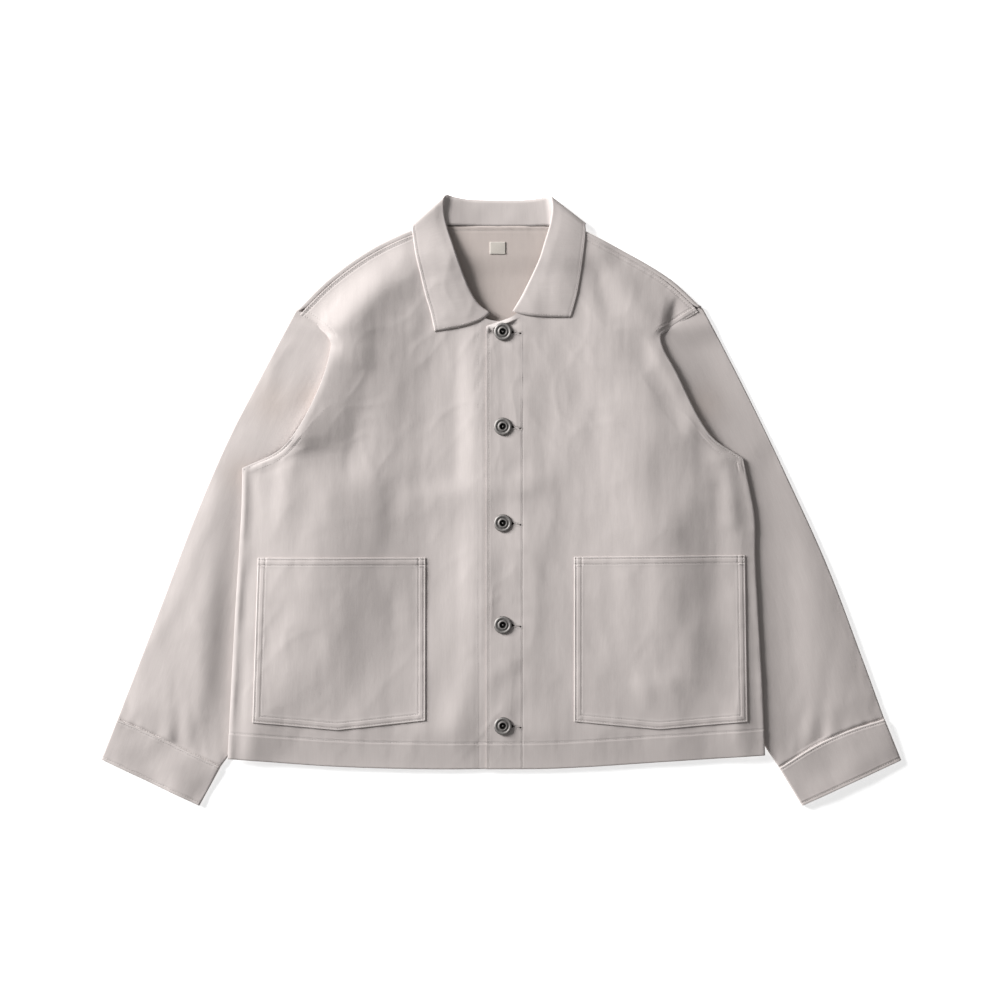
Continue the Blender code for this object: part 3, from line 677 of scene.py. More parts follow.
# %% [markdown]
# Drill is a steep twill: fine diagonal ribs, crossed by yarns that are thicker in places. The ribs are far
# smaller than a pixel here, but they scatter the light and show in a close view. An image texture could carry
# them. A node group works at any distance, and each cloth places it with its own coordinates.

# %% Weave group
RIB_SLANT = 0.6
YARN_SLANT = 1.9
SLUB_SCALE = 900.0
SLUB_DRAW = (1.0, 0.035, 1.0)


def set_inputs(tree, node, inputs):
    """Give a node's inputs values, or the sockets that feed them."""
    for key, value in inputs.items():
        if isinstance(value, bpy.types.NodeSocket):
            tree.links.new(value, node.inputs[key])
        else:
            node.inputs[key].default_value = value


def add_node(tree, kind, inputs=None, **settings):
    """A node with its settings and its inputs."""
    node = tree.nodes.new(kind)
    for name, value in settings.items():
        setattr(node, name, value)
    set_inputs(tree, node, inputs or {})
    return node


def maths(tree, operation, *inputs):
    """Output of a Math node."""
    return add_node(tree, "ShaderNodeMath", dict(enumerate(inputs)), operation=operation).outputs[0]


def stretched(tree, place, factors):
    """Coordinates multiplied by a factor on each axis."""
    return add_node(tree, "ShaderNodeVectorMath", {0: place, 1: factors}, operation="MULTIPLY").outputs[0]


def noise(tree, place, scale, detail=2.0, roughness=0.5):
    """Factor of a noise over the given coordinates."""
    inputs = {"Vector": place, "Scale": scale, "Detail": detail, "Roughness": roughness}
    return add_node(tree, "ShaderNodeTexNoise", inputs).outputs["Fac"]


def drill_group():
    """Height and thick-yarn mask of the drill, from grain coordinates in metres.

    Height is a product of two sine waves, one across the diagonal ribs and one across the yarns that cross
    them. The mask is a noise that is drawn out along the warp.
    """
    group = bpy.data.node_groups.new("drill weave", "ShaderNodeTree")
    for name, kind in (("Grain", "NodeSocketVector"), ("Rib", "NodeSocketFloat")):
        group.interface.new_socket(name, in_out="INPUT", socket_type=kind)
    for name in ("Height", "Slub"):
        group.interface.new_socket(name, in_out="OUTPUT", socket_type="NodeSocketFloat")
    given = group.nodes.new("NodeGroupInput")
    split = add_node(group, "ShaderNodeSeparateXYZ", {0: given.outputs["Grain"]})
    across, along = split.outputs[0], split.outputs[1]
    full_turn = maths(group, "DIVIDE", 2 * math.pi, given.outputs["Rib"])
    diagonal = maths(group, "ADD", across, maths(group, "MULTIPLY", along, RIB_SLANT))
    crossing = maths(group, "SUBTRACT", maths(group, "MULTIPLY", along, YARN_SLANT), across)
    ribs = maths(group, "SINE", maths(group, "MULTIPLY", diagonal, full_turn))
    yarns = maths(group, "SINE", maths(group, "MULTIPLY", crossing, full_turn))
    ribs = maths(group, "MULTIPLY_ADD", ribs, 0.5, 0.5)
    yarns = maths(group, "MULTIPLY_ADD", yarns, 0.25, 0.75)
    slub = noise(group, stretched(group, given.outputs["Grain"], SLUB_DRAW), SLUB_SCALE)
    made = group.nodes.new("NodeGroupOutput")
    set_inputs(group, made, {"Height": maths(group, "MULTIPLY", ribs, yarns), "Slub": slub})
    return group


DRILL = drill_group()
print("weave group with", len(DRILL.nodes), "nodes")

# %% [markdown]
# The cloth's colour is a warm, pinkish grey. It is paler where edges rub and along thick yarns, and on the
# strip turned up at the throat, where the paleness is a painted highlight. In the folds of the sleeves and
# inside the neck a warmer, darker colour is painted shade. It is cloudy from washing. The marks for pale
# edges and painted shade come with each shell, so they follow its seams. Sheen stands for the fine nap of
# cotton.

# %% Cotton drill
CLOTH_COLOUR = (0.568, 0.516, 0.497)
EDGE_COLOUR = (0.66, 0.615, 0.595)
# the warmer, darker colour of the painted shade in folds
WARM_SHADE_COLOUR = (0.52, 0.425, 0.37)
SHEEN_COLOUR = (1.0, 0.97, 0.95, 1.0)
RIB_PITCH = 0.0009
RIB_BUMP = 0.00004
CRINKLE_BUMP = 0.00022


def toned(colour, factor):
    """A colour made darker or brighter."""
    return tuple(part * factor for part in colour)


def mixed(tree, factor, first, second):
    """Colour output of a mix of two colours."""
    given = {0: factor, 6: first, 7: second}
    inputs = {key: (*value, 1.0) if isinstance(value, tuple) else value for key, value in given.items()}
    return add_node(tree, "ShaderNodeMix", inputs, data_type="RGBA").outputs[2]


def ranged(tree, value, low, high, start=0.0, end=1.0):
    """Output of a Map Range node, clamped."""
    return add_node(tree, "ShaderNodeMapRange", {0: value, 1: low, 2: high, 3: start, 4: end}).outputs[0]


def mark_of(tree, name):
    """Factor of a mark that is stored with the mesh's points."""
    return add_node(tree, "ShaderNodeAttribute", attribute_name=name).outputs["Fac"]


def bumped(tree, height, strength, distance, **more):
    """Normal of a bump over the given height."""
    inputs = {"Strength": strength, "Distance": distance, "Height": height, **more}
    return add_node(tree, "ShaderNodeBump", inputs).outputs[0]


def new_material(name):
    """A Principled material, its node tree and its shader."""
    made = bpy.data.materials.new(name)
    made.use_nodes = True
    return made, made.node_tree, made.node_tree.nodes["Principled BSDF"]


def object_place(tree):
    """Coordinates on the object, in metres."""
    return tree.nodes.new("ShaderNodeTexCoord").outputs["Object"]


def drill_material(name, colour, bump):
    """Cotton drill: weave, cloudy colour, pale edges and marks of painted highlight and painted shade."""
    made, tree, shader = new_material(name)
    place = object_place(tree)
    grain = add_node(tree, "ShaderNodeUVMap", uv_map="grain").outputs[0]
    weave = add_node(tree, "ShaderNodeGroup", {"Grain": grain, "Rib": RIB_PITCH}, node_tree=DRILL).outputs
    cloud = ranged(tree, noise(tree, place, 14.0, 4.0), 0.3, 0.7)
    base = mixed(tree, cloud, toned(colour, 0.965), toned(colour, 1.03))
    slubs = maths(tree, "MULTIPLY", ranged(tree, weave["Slub"], 0.42, 0.72), 0.30)
    base = mixed(tree, slubs, base, toned(colour, 1.12))
    # painted shade: the sleeves' folds and the inside of the neck take a warmer, darker colour
    base = mixed(tree, mark_of(tree, "painted_warm_shade"), base, WARM_SHADE_COLOUR)
    rubbed = ranged(tree, noise(tree, place, 260.0, 3.0), 0.25, 0.65, 0.45, 1.0)
    # paler edges: wear from rubbing, and on the strip at the throat a painted highlight
    base = mixed(tree, maths(tree, "MULTIPLY", mark_of(tree, "wear_and_highlight"), rubbed), base, EDGE_COLOUR)
    crinkle = noise(tree, stretched(tree, grain, (1.0, 0.4, 1.0)), 95.0, 5.0, 0.55)
    set_inputs(tree, shader, {
        "Base Color": base,
        "Roughness": ranged(tree, weave["Height"], 0.0, 1.0, 0.94, 0.84),
        "Normal": bumped(tree, weave["Height"], 0.6, bump, Normal=bumped(tree, crinkle, 1.0, CRINKLE_BUMP)),
        "Specular IOR Level": 0.25,
        "Sheen Weight": 0.08,
        "Sheen Roughness": 0.5,
        "Sheen Tint": SHEEN_COLOUR,
    })
    return made


TWILL = drill_material("cotton_drill", CLOTH_COLOUR, RIB_BUMP)
print("material", TWILL.name)

# %% [markdown]
# Each front is one panel. Its grid runs from the hem to the shoulder and from the centre front to the side,
# with fine cells beside the placket, hem, armhole and shoulder, where the stitching lies. At the side the
# cloth turns down to what lies below it. The two fronts could mirror each other, but the photograph shows
# them unequal, so each has its own table.

# %% Fronts
SIDE_TURN = {"right": (1.8, 7.5), "left": (1.4, 7.0)}
SIDE_TURN_LOW_Y = (50.0, 90.0)
SIDE_TURN_HIGH_Y = (200.0, 176.0)
WALL_INSET = 0.05
WALL_SHARES = (0.5, 1.0)
WALL_GRAIN = (2.5, 5.0)
FRONT_U = spread((0.12, 0.12), (1.1, 0.4), (46, 0.95), (262, 3.5), (26, 1.1), (1.7, 0.45), (0.12, 0.12))
NECK_CORNER = 0.742
SIDE_CORNER = 0.58
FRONT_V = spread((1.5, 0.5), (36, 1.2), (598, 3.6), (25, 1.1), (1.5, 0.5))
FRONT_V = with_corner(FRONT_V, SIDE_CORNER, NECK_CORNER)


def shifted(points, distance):
    """A line of points moved sideways, to the right of its direction when positive."""
    along = unit(np.gradient(points, axis=0))
    return points + distance * np.stack((along[:, 1], -along[:, 0]), axis=1)


def front_plan(side):
    """Plan grid of a front: hem, centre front with the neck, side with the armhole, shoulder."""
    data = SIDES[side]
    seam = shifted(line_of(data["fold"], 12), data["wrap"] + 2 * SEAM)
    shoulder = [data["neck"][-1]] + [tuple(point) for point in seam[2:-1:3]] + [data["armhole"][-1]]
    start = bent_edge(FRONT_V, (data["hem"][0], data["neck"][0]), data["neck"], NECK_CORNER)
    end = bent_edge(FRONT_V, data["side"], data["armhole"], SIDE_CORNER)
    return patch(curve(data["hem"], FRONT_U), curve(shoulder, FRONT_U), start, end, FRONT_U, FRONT_V)


def side_wall(side, y):
    """How far the cloth turns down at a front's side edge, where it is sewn to what lies below."""
    at_armhole = ramp(y, *SIDE_TURN_LOW_Y) * ramp(y, *SIDE_TURN_HIGH_Y)
    low, high = SIDE_TURN[side]
    return low + (high - low) * at_armhole


def make_front(side):
    """One front's shell, paler along its hem, placket and side edge, with a painted highlight at the throat.
    """
    data = SIDES[side]
    plan = front_plan(side)
    x, y = plan[..., 0], plan[..., 1]
    hem = beside(line_of(data["hem"]), x, y)[0]
    edge = beside(EDGE[side], x, y)[0]
    wear_and_highlight = 0.20 * bell(hem - HEM_DEPTH - 1.2, 0.8) + 0.18 * bell(edge, 2.2) + 0.20 * bell(hem, 0.8)
    if side == "left":
        wear_and_highlight = wear_and_highlight + 0.2 * bell(x - PLACKET_EDGE - PLACKET_WIDTH - 1.5, 0.8)
        neck, neck_along, _ = beside(line_of(data["neck"]), x, y)
        # painted highlight: the whole strip turned up at the throat is made paler
        wear_and_highlight = wear_and_highlight + 0.8 * ease((THROAT_WIDTH - neck) / 1.2) * ease((THROAT_LENGTH - neck_along) / 8.0)
    grid = np.dstack((plan, front_level(side, x, y)))
    top = grid[:, -1]
    drop = side_wall(side, top[:, 1])
    walls = [top - np.column_stack((0 * drop + WALL_INSET, 0 * drop, share * drop)) for share in WALL_SHARES]
    grid = np.concatenate((grid, np.stack(walls, axis=1)), axis=1)
    grain = np.concatenate([plan] + [plan[:, -1:] + (step, 0.0) for step in WALL_GRAIN], axis=1)
    wear_and_highlight = np.clip(np.pad(wear_and_highlight, ((0, 0), (0, 2))), 0, 1)
    piece = cloth("cloth_front_" + side, grid, grain * (data["sign"], 1.0), THIN_CLOTH, TWILL, data["sign"],
                  marks={"wear_and_highlight": wear_and_highlight})
    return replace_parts(piece, "front_" + side)


for wearer_side in SIDES:
    make_front(wearer_side)

# %% [markdown]
# The back lies on the table. Only its neck shows, and the two shoulders, where it rolls over the fold and
# meets the fronts on top. Its sides stop a little short, because the fronts' turned edges come down beside
# them.

# %% Back
BACK_INSET = 3.2
BACK_HEM = ((-150, -304.5), (150, -302))
BACK_HEM_STEP = 1.5
NECK_SEAM_Y = 314.0
NECK_ROW = 3.0
NECK_STEP = 4.0
NECK_UNDER = 1.8
NECK_SEAM_X = (75.0, 67.0)
SHOULDER_ROLL = (FRONT_LEVEL - REST) / 2
BACK_U = np.linspace(0.0, 1.0, 91)
BACK_RUNS = (44, 30, 44)
ROLL_TURNS = np.radians(np.linspace(22.5, 180.0, 8))
TURNED_IN = np.array((0.35, 0.75, 1.0, 1.6))
TUCKED_UNDER = np.array((0.0, 0.0, 0.1, 1.3))
TAPER_SHARE = 0.05
TAPER_START = 0.6
INSIDE_NECK_SHADE = 0.38
INSIDE_X = (80.0, 70.0)
INSIDE_Y = (120.0, 220.0)
FOLD_WEAR = 0.25


def back_edge(side):
    """Edge of the back: up the side, round the armhole and along the shoulder fold to the neck."""
    data = SIDES[side]
    armhole = np.array(BACK_ARMHOLE[side], float) - (1.0, 0.0)
    lower = np.array(data["side"], float) - (BACK_INSET, 0)
    lower[0, 1] += BACK_HEM_STEP
    lower[-1] = armhole[0]
    fold = shifted(line_of(data["fold"], BACK_RUNS[2]), SHOULDER_ROLL)[::-1]
    fold[0] = armhole[-1]
    runs = [line_of(points, cells) for points, cells in zip((lower, armhole, fold), BACK_RUNS)]
    return np.vstack((runs[0], runs[1][1:], runs[2][1:])) * (data["sign"], 1)


def back_level(x, y):
    """Height of the back's middle surface: at rest, over the sleeves and over the collar's fall."""
    lift = np.where(x > 0, over_sleeve("left", x, y), over_sleeve("right", -x, y))
    seam = y - NECK_SEAM_Y
    neck = puckers(x, seam, 31, 0.12, cell=4.0, reach=6.0) + 0.4 * bell(seam, 1.4) + groove(seam + NECK_ROW)
    soft = 0.22 * (1 + ripple(x, y, (60.0, 90.0), 32))
    return REST + lift + over_collar(x, y) + soft + neck * ramp(np.abs(x), *NECK_SEAM_X)


def rolled(edge, side):
    """Columns that carry the shoulder fold of the back up and over to the seam on the front."""
    cells = BACK_RUNS[2]
    steps = np.arange(cells + 1)
    taper = np.clip(np.minimum(steps, steps[::-1]) / (TAPER_SHARE * cells), TAPER_START, 1.0)
    along = unit(np.gradient(edge[-cells - 1:, :2], axis=0))
    outwards = SIDES[side]["sign"] * np.stack((along[:, 1], -along[:, 0]), axis=1)
    columns = np.repeat(edge[:, None], len(ROLL_TURNS) + len(TURNED_IN), axis=1)
    out = np.broadcast_to(SHOULDER_ROLL * np.sin(ROLL_TURNS), (cells + 1, len(ROLL_TURNS)))
    back_in = -(SIDES[side]["wrap"] * taper - SHOULDER_ROLL)[:, None] * TURNED_IN
    rise = SHOULDER_ROLL * (1 - np.cos(ROLL_TURNS))
    columns[-cells - 1:, :, :2] += outwards[:, None] * np.hstack((out, back_in))[..., None]
    columns[-cells - 1:, :, 2] += np.append(rise, rise[-1] - TUCKED_UNDER)
    return columns


def make_back():
    """The back's shell, with both shoulders rolled over."""
    right, left = back_edge("right"), back_edge("left")
    inner = len(BACK_U) - 2
    neck = np.full((inner, 2), NECK_SEAM_Y + NECK_UNDER)
    neck[:, 0] = np.linspace(right[-1, 0] + NECK_STEP, left[-1, 0] - NECK_STEP, inner)
    neck = np.vstack((right[-1], neck, left[-1]))
    hem = curve((right[0], *BACK_HEM, left[0]), BACK_U)
    v = np.linspace(0.0, 1.0, len(right))
    plan = patch(hem, neck, right, left, BACK_U, v, near=(1, 3))
    points = np.dstack((plan, back_level(plan[..., 0], plan[..., 1])))
    sides = [rolled(points[:, column], side) for column, side in ((0, "right"), (-1, "left"))]
    grid = np.concatenate((sides[0][:, ::-1], points, sides[1]), axis=1)
    added = sides[0].shape[1]
    keep = np.ones((grid.shape[0] - 1, grid.shape[1] - 1), bool)
    keep[:-BACK_RUNS[2], :added] = False
    keep[:-BACK_RUNS[2], -added:] = False
    step = np.linalg.norm(np.diff(grid, axis=1), axis=2)
    grain = grid[..., :2].copy()
    grain[..., 0] = np.cumsum(np.concatenate((grid[:, :1, 0], step), axis=1), axis=1)
    fold_mark = np.zeros(grid.shape[:2])
    fold_mark[:, :added] = fold_mark[:, -added:] = FOLD_WEAR
    # painted shade: the inside of the neck, under the collar, turns warmer and darker
    shaded_inside_neck = ramp(grid[..., 1], *INSIDE_Y) * ramp(np.abs(grid[..., 0]), *INSIDE_X)
    marks = {"wear_and_highlight": fold_mark, "painted_warm_shade": INSIDE_NECK_SHADE * shaded_inside_neck}
    return cloth("cloth_back", grid, grain, CLOTH, TWILL, keep=keep, marks=marks)


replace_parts(make_back(), "back_panel")

# %% [markdown]
# A sleeve is a tube pressed flat. Its plan runs from the armhole to the cuff, and the upper wall carries long
# soft folds that follow the arm. The tube's section is a flat oval: two walls that meet in a half circle at
# both edges. It stands highest beside the body, where more cloth lies under it.

# %% Sleeves
SLEEVE_DEPTH = 2.8
SLEEVE_PUFF = 1.9
SLEEVE_TILT = {"right": 4.0, "left": 6.0}
TILT_LESS_Y = (-10.0, 70.0)
TILT_GROWS_Y = (-290.0, -110.0)
FREE_FROM_BODY = {"right": (2.0, 40.0), "left": (34.0, 94.0)}
FREE_FROM_TIP_Y = (212.0, 172.0)
UNDER_BODY = {"right": (0.3, 2.0), "left": (0.8, 1.4)}
UNDER_ARMHOLE_Y = (20.0, 80.0)
SLEEVE_TIP_Y = (214.0, 194.0)
CUFF_REACH = 36.0
SLEEVE_RIPPLES = ((0.34, (24.0, 70.0), 41), (0.16, (11.0, 42.0), 42))
CUFF_PUFF = 0.9
SLEEVE_FOLDS = {
    "right": (
        # two folds below the shoulder
        (((-245, 200), (-265, 150), (-290, 80)), 1.5, 15, 15),
        (((-215, 170), (-230, 130), (-255, 90)), 1.2, 12, 15),
        # along the outer edge, and along the middle down to the cuff
        (((-310, 60), (-340, -20), (-370, -100), (-400, -160), (-430, -230)), 1.0, 12, 12),
        (((-325, -40), (-335, -120), (-340, -200), (-345, -270)), 1.0, 20, 25),
    ),
    "left": (
        # the hollow beside the body
        (((230, 200), (250, 120), (290, 50), (310, -60), (310, -170), (320, -270)), -1.5, 20, 15),
        # the ridge next to it, and a shallow trough
        (((330, -10), (345, -100), (345, -200), (350, -270)), 1.0, 20, 20),
        (((360, -90), (365, -180), (370, -270)), -0.8, 20, 12),
    ),
}


def section_u(width=130.0):
    """Shares across a tube's wall, with short cells where it turns round at both edges."""
    return spread((1.6, 0.32), (5, 1.0), (width, 3.3), (5, 1.0), (1.6, 0.32))


SLEEVE_ROW = 1.6
TIP_TUCK = (-2.6, 2.8)
WARM_SHADE_PATCHES = ((-263, 112, 24), (-222, 120, 16), (-300, 30, 20), (232, 110, 22))
SLEEVE_U = section_u()
SLEEVE_V = spread((2, 0.6), (10, 1.4), (466, 3.8), (20, 1.0), (2, 0.5))


def sleeve_plan(side):
    """Plan grid of a sleeve's wall, from the armhole to the cuff seam."""
    data = SIDES[side]
    tucked = np.array(data["end"], float)
    tucked[:2] += TIP_TUCK
    outer = np.vstack((tucked[:1], data["outer"]))
    return patch(curve(tucked, SLEEVE_U), curve(data["cuff_seam"], SLEEVE_U), curve(outer, SLEEVE_V),
                 curve(data["inner"], SLEEVE_V), SLEEVE_U, SLEEVE_V, near=(3, 1))


def cuff_depth(across):
    """Distance between the walls of a cuff, and of the sleeve where it meets the cuff."""
    return SLEEVE_DEPTH + CUFF_PUFF * dome(across)


def sleeve_depth(side, x, y, across):
    """Distance between the walls: least where the body lies on the sleeve, most beside the body."""
    picture_x = SIDES[side]["sign"] * x
    outer = np.array(SIDES[side]["outer"][::-1], float)
    outside = x - edge_x(side, y)
    width = np.maximum(np.interp(y, outer[:, 1], outer[:, 0]) - edge_x(side, y), 1.0)
    gap = np.where(outside > 0, beside(EDGE[side], x, y)[0], 0.0)
    free = ramp(gap, *FREE_FROM_BODY[side]) * ramp(y, *FREE_FROM_TIP_Y)
    beside_armhole = 1.0 - 0.7 * ramp(y, *TILT_LESS_Y)
    flatter = 0.3 + 0.7 * ramp(y, *TILT_GROWS_Y)
    form = SLEEVE_PUFF * dome(across) + folds(SLEEVE_FOLDS[side], picture_x, y)
    form = form + SLEEVE_TILT[side] * beside_armhole * flatter * np.clip(1.0 - outside / width, 0.0, 1.0)
    form = form + rippled(picture_x, y, SLEEVE_RIPPLES) + crumple(picture_x, y, 44)
    high = ramp(y, *UNDER_ARMHOLE_Y)
    step, more = UNDER_BODY[side]
    body_side = np.where(outside > 0, ease(1.0 - gap / (28.0 + 24.0 * high)), ease(1.0 + outside / 12.0))
    hollow = more * high * ease(gap / 40.0) * (1.0 - 0.6 * free)
    depth = SLEEVE_DEPTH + ((step + more * high) * body_side - hollow) * ramp(y, *SLEEVE_TIP_Y)
    depth = depth + free * form
    seam, seam_along, _ = beside(line_of(SIDES[side]["cuff_seam"]), x, y)
    at_cuff = cuff_depth(across)
    depth = at_cuff + (depth - at_cuff) * ease(seam / CUFF_REACH)
    pulls = puckers(seam_along + 0.5 * seam, seam, 45, 1.5, cell=13.0, reach=28.0) * ease(seam / 6.0)
    return depth + pulls + puckers(seam_along, seam, 43, 0.5, cell=7.0, reach=9.0) + groove(seam - SLEEVE_ROW)


def tube(plan, depth, rise):
    """Close a plan grid into a flat tube: the upper wall outwards, then the lower wall back."""
    run = travel(plan.transpose(1, 0, 2)).T
    from_edge = np.minimum(run, run[:, -1:] - run)
    lower_half = SLEEVE_DEPTH / 2
    edge_radius = np.minimum(depth, SLEEVE_DEPTH) / 2
    share = np.sqrt(np.clip(1 - np.clip(1 - from_edge / edge_radius, 0, 1) ** 2, 0, 1))
    upper = np.dstack((plan, rise + lower_half + (depth - lower_half) * share))
    lower = np.dstack((plan, rise + lower_half - lower_half * share))
    grid = np.concatenate((upper, lower[:, -2:0:-1]), axis=1)
    ring = np.concatenate((run, 2 * run[:, -1:] - run[:, -2::-1]), axis=1)
    length = np.repeat(travel(plan).mean(axis=1)[:, None], ring.shape[1], axis=1)
    return grid, np.dstack((ring, -length))


def make_sleeve(side):
    """One sleeve's shell, open at the armhole and at the cuff."""
    data = SIDES[side]
    plan = sleeve_plan(side)
    x, y = plan[..., 0], plan[..., 1]
    grid, grain = tube(plan, sleeve_depth(side, x, y, SLEEVE_U[None, :]), REST)
    picture_x = data["sign"] * grid[..., 0]
    # painted shade: warmer, darker patches in the folds of the upper sleeves
    shade = sum(bell(np.hypot(picture_x - px, grid[..., 1] - py), width) for px, py, width in WARM_SHADE_PATCHES)
    edge = beside(curve(data["outer"], SLEEVE_V), grid[..., 0], grid[..., 1])[0]
    marks = {"painted_warm_shade": np.clip(shade, 0, 1) * 0.30, "wear_and_highlight": 0.3 * bell(edge, 2.0)}
    piece = cloth("cloth_sleeve_" + side, grid, grain, CLOTH, TWILL, data["sign"],
                  closed=True, marks=marks)
    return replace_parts(piece, "sleeve_" + side)


for wearer_side in SIDES:
    make_sleeve(wearer_side)

# %% [markdown]
# A cuff is a double band sewn to the sleeve's end. It is a short flat tube of its own, a seam's width below
# the sleeve, with a row of stitches along the seam and one along its free edge.

# %% Cuffs
CUFF_V = spread((1.2, 0.4), (6, 0.8), (34, 3.2), (6, 0.8), (1.2, 0.4))
CUFF_ROWS = (2.2, 3.4)
CUFF_GAP = 0.1


def cuff_plan(side):
    """Plan grid of a cuff, from the seam to its free edge."""
    seam = curve(SIDES[side]["cuff_seam"], SLEEVE_U)
    ends = np.array(SIDES[side]["cuff_end"], float)
    last = between(ends[0], ends[1], SLEEVE_U)
    first = seam + CUFF_GAP * unit(last - seam)
    return first + (last - first) * CUFF_V[:, None, None]


def make_cuff(side):
    """One cuff's shell, with its stitched seam and edge."""
    data = SIDES[side]
    plan = cuff_plan(side)
    x, y = plan[..., 0], plan[..., 1]
    seam, along, _ = beside(plan[0], x, y)
    end, end_along, _ = beside(plan[-1], x, y)
    depth = cuff_depth(SLEEVE_U[None, :])
    depth = depth + groove(seam - CUFF_ROWS[0]) + groove(end - CUFF_ROWS[1])
    depth = depth + round_over(seam, 0.5) + puckers(along, seam - CUFF_ROWS[0], 51, 0.2, cell=6.0)
    depth = depth + 2.0 * ripple(data["sign"] * x, y, (34.0, 28.0), 52)
    depth = depth + puckers(end_along, end - CUFF_ROWS[1], 53, 0.15, cell=5.0)
    grid, grain = tube(plan, depth, CUFF_CLOTH / 2)
    seam_all = beside(plan[0], grid[..., 0], grid[..., 1])[0]
    marks = {"wear_and_highlight": 0.3 * bell(seam_all - 0.6, 0.8)}
    piece = cloth("cloth_cuff_" + side, grid, grain, CUFF_CLOTH, TWILL, data["sign"],
                  closed=True, marks=marks)
    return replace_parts(piece, "cuff_" + side)


for wearer_side in SIDES:
    make_cuff(wearer_side)

# %% [markdown]
# The patch pockets lie on the fronts and copy every fold below them, so they are made from the front's own
# heights, moved out. Their edges are turned in and sewn twice, which leaves a raised border with two grooves.
# The lower edge comes to a shallow point.

# %% Pockets
POCKET_LIFT = THIN_CLOTH + 0.15
POCKET_ROWS = (2.2, 8.4)
POCKET_BORDER = 10.0
POCKET_U = spread((1.2, 0.4), (11, 0.7), (168, 3.6), (11, 0.7), (1.2, 0.4))


def pocket_lines(side):
    """The pocket's open mouth and its sewn edge, round the point."""
    inner_top, outer_top, outer_low, point, inner_low = (np.array(p, float) for p in SIDES[side]["pocket"])
    return np.array((inner_top, outer_top)), np.array((inner_top, inner_low, point, outer_low, outer_top))


def pocket_plan(side):
    """Plan grid of a pocket."""
    mouth, sewn = pocket_lines(side)
    bottom = between(sewn[1], sewn[2], np.clip(POCKET_U * 2, 0, 1))
    bottom = bottom + (sewn[3] - sewn[2]) * np.clip(POCKET_U * 2 - 1, 0, 1)[:, None]
    top = between(mouth[0], mouth[1], POCKET_U)
    start = between(sewn[1], sewn[0], POCKET_U)
    end = between(sewn[3], sewn[4], POCKET_U)
    return patch(bottom, top, start, end, POCKET_U, POCKET_U)


def pocket_level(side, x, y):
    """Height of a pocket: the front's form moved out, a raised border and its two grooves."""
    mouth, sewn = pocket_lines(side)
    from_mouth, mouth_along, _ = beside(mouth, x, y)
    from_sewn, sewn_along, _ = beside(sewn, x, y)
    nearest = np.minimum(from_mouth, from_sewn)
    level = front_form(side, x, y) + POCKET_LIFT + band(nearest, POCKET_BORDER + 0.4, 0.25, 1.3)
    for row in POCKET_ROWS:
        level = level + groove(from_mouth - row) + groove(from_sewn - row)
    level = level + puckers(sewn_along, from_sewn - 5, 61, 0.22, cell=5.0, reach=7.0)
    level = level + puckers(mouth_along, from_mouth - 5, 62, 0.18, cell=6.0, reach=7.0)
    return level + 0.6 * round_over(from_sewn, 0.8) + 0.3 * round_over(from_mouth, 0.8)


def make_pocket(side):
    """One pocket's shell, pale along its edges."""
    data = SIDES[side]
    plan = pocket_plan(side)
    x, y = plan[..., 0], plan[..., 1]
    mouth, sewn = pocket_lines(side)
    nearest = np.minimum(beside(mouth, x, y)[0], beside(sewn, x, y)[0])
    wear_and_highlight = 0.4 * bell(nearest - 0.3, 0.7) + 0.25 * bell(nearest - POCKET_BORDER, 0.7)
    piece = cloth("cloth_pocket_" + side, np.dstack((plan, pocket_level(side, x, y))),
                  plan * (data["sign"], 1.0) + 400.0, THIN_CLOTH, TWILL, data["sign"], marks={"wear_and_highlight": wear_and_highlight})
    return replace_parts(piece, "pocket_" + side)


for wearer_side in SIDES:
    make_pocket(wearer_side)

# %% [markdown]
# The collar is one strip. On the fronts it is a leaf that lies on top of the body. Round the neck it turns
# over, and at the back its fall lies under the garment while the stand's inner face shows. Each row of the
# table is a section of the strip: neck seam, roll line and outer edge, then how far the strip has turned from
# front to back, and how much the leaf's end bows out.

# %% Collar
COLLAR = {
    "right": (
        ((15, 213), (14, 216), (77, 194), 0.0, 6.0),
        ((27, 222), (28, 227), (82, 217), 0.0, 3.0),
        ((39, 240), (39, 246), (88, 237), 0.0, 0.5),
        ((52, 265), (49, 272), (94, 262), 0.0, 0.0),
        ((62, 291), (57, 295), (99, 283), 0.0, 0.0),
        ((67, 303), (64, 317), (102, 303), 0.0, 0.0),
        ((67.5, 308), (67, 333), (103, 311), 0.0, 0.0),
        ((67, 314), (67, 346), (102.5, 316), 0.08, 0.0),
        ((64, 316.5), (64.5, 351), (103, 319), 0.5, 0.0),
        ((61, 317), (60, 350.5), (100, 317), 0.94, 0.0),
        ((54, 316.5), (53, 348.5), (75, 312), 1.0, 0.0),
        ((37, 316), (37, 346), (43, 305), 1.0, 0.0),
    ),
    "left": (
        ((12, 216), (13, 218), (79, 210), 0.0, 3.5),
        ((23, 228), (23, 235), (86, 235), 0.0, 1.5),
        ((36, 249), (33, 255), (90, 257), 0.0, 0.0),
        ((50, 275), (43, 277), (93, 278), 0.0, 0.0),
        ((59, 296), (49, 296), (95, 294), 0.0, 0.0),
        ((62, 305), (55, 316), (96, 304), 0.0, 0.0),
        ((62, 309), (58, 333), (96, 311), 0.0, 0.0),
        ((60, 313), (57.5, 346), (95.5, 316), 0.08, 0.0),
        ((57, 315.5), (55.5, 350), (96, 319), 0.5, 0.0),
        ((54, 316), (51, 349.5), (92, 317), 0.94, 0.0),
        ((47, 316), (44, 347.5), (67, 312), 1.0, 0.0),
        ((30, 315.5), (28, 345.5), (36, 305), 1.0, 0.0),
    ),
}
CENTRE_BACK = ((0, 315.5), (0, 345), (0, 301), 1.0, 0.0)
LEAF_RISE = 2.2
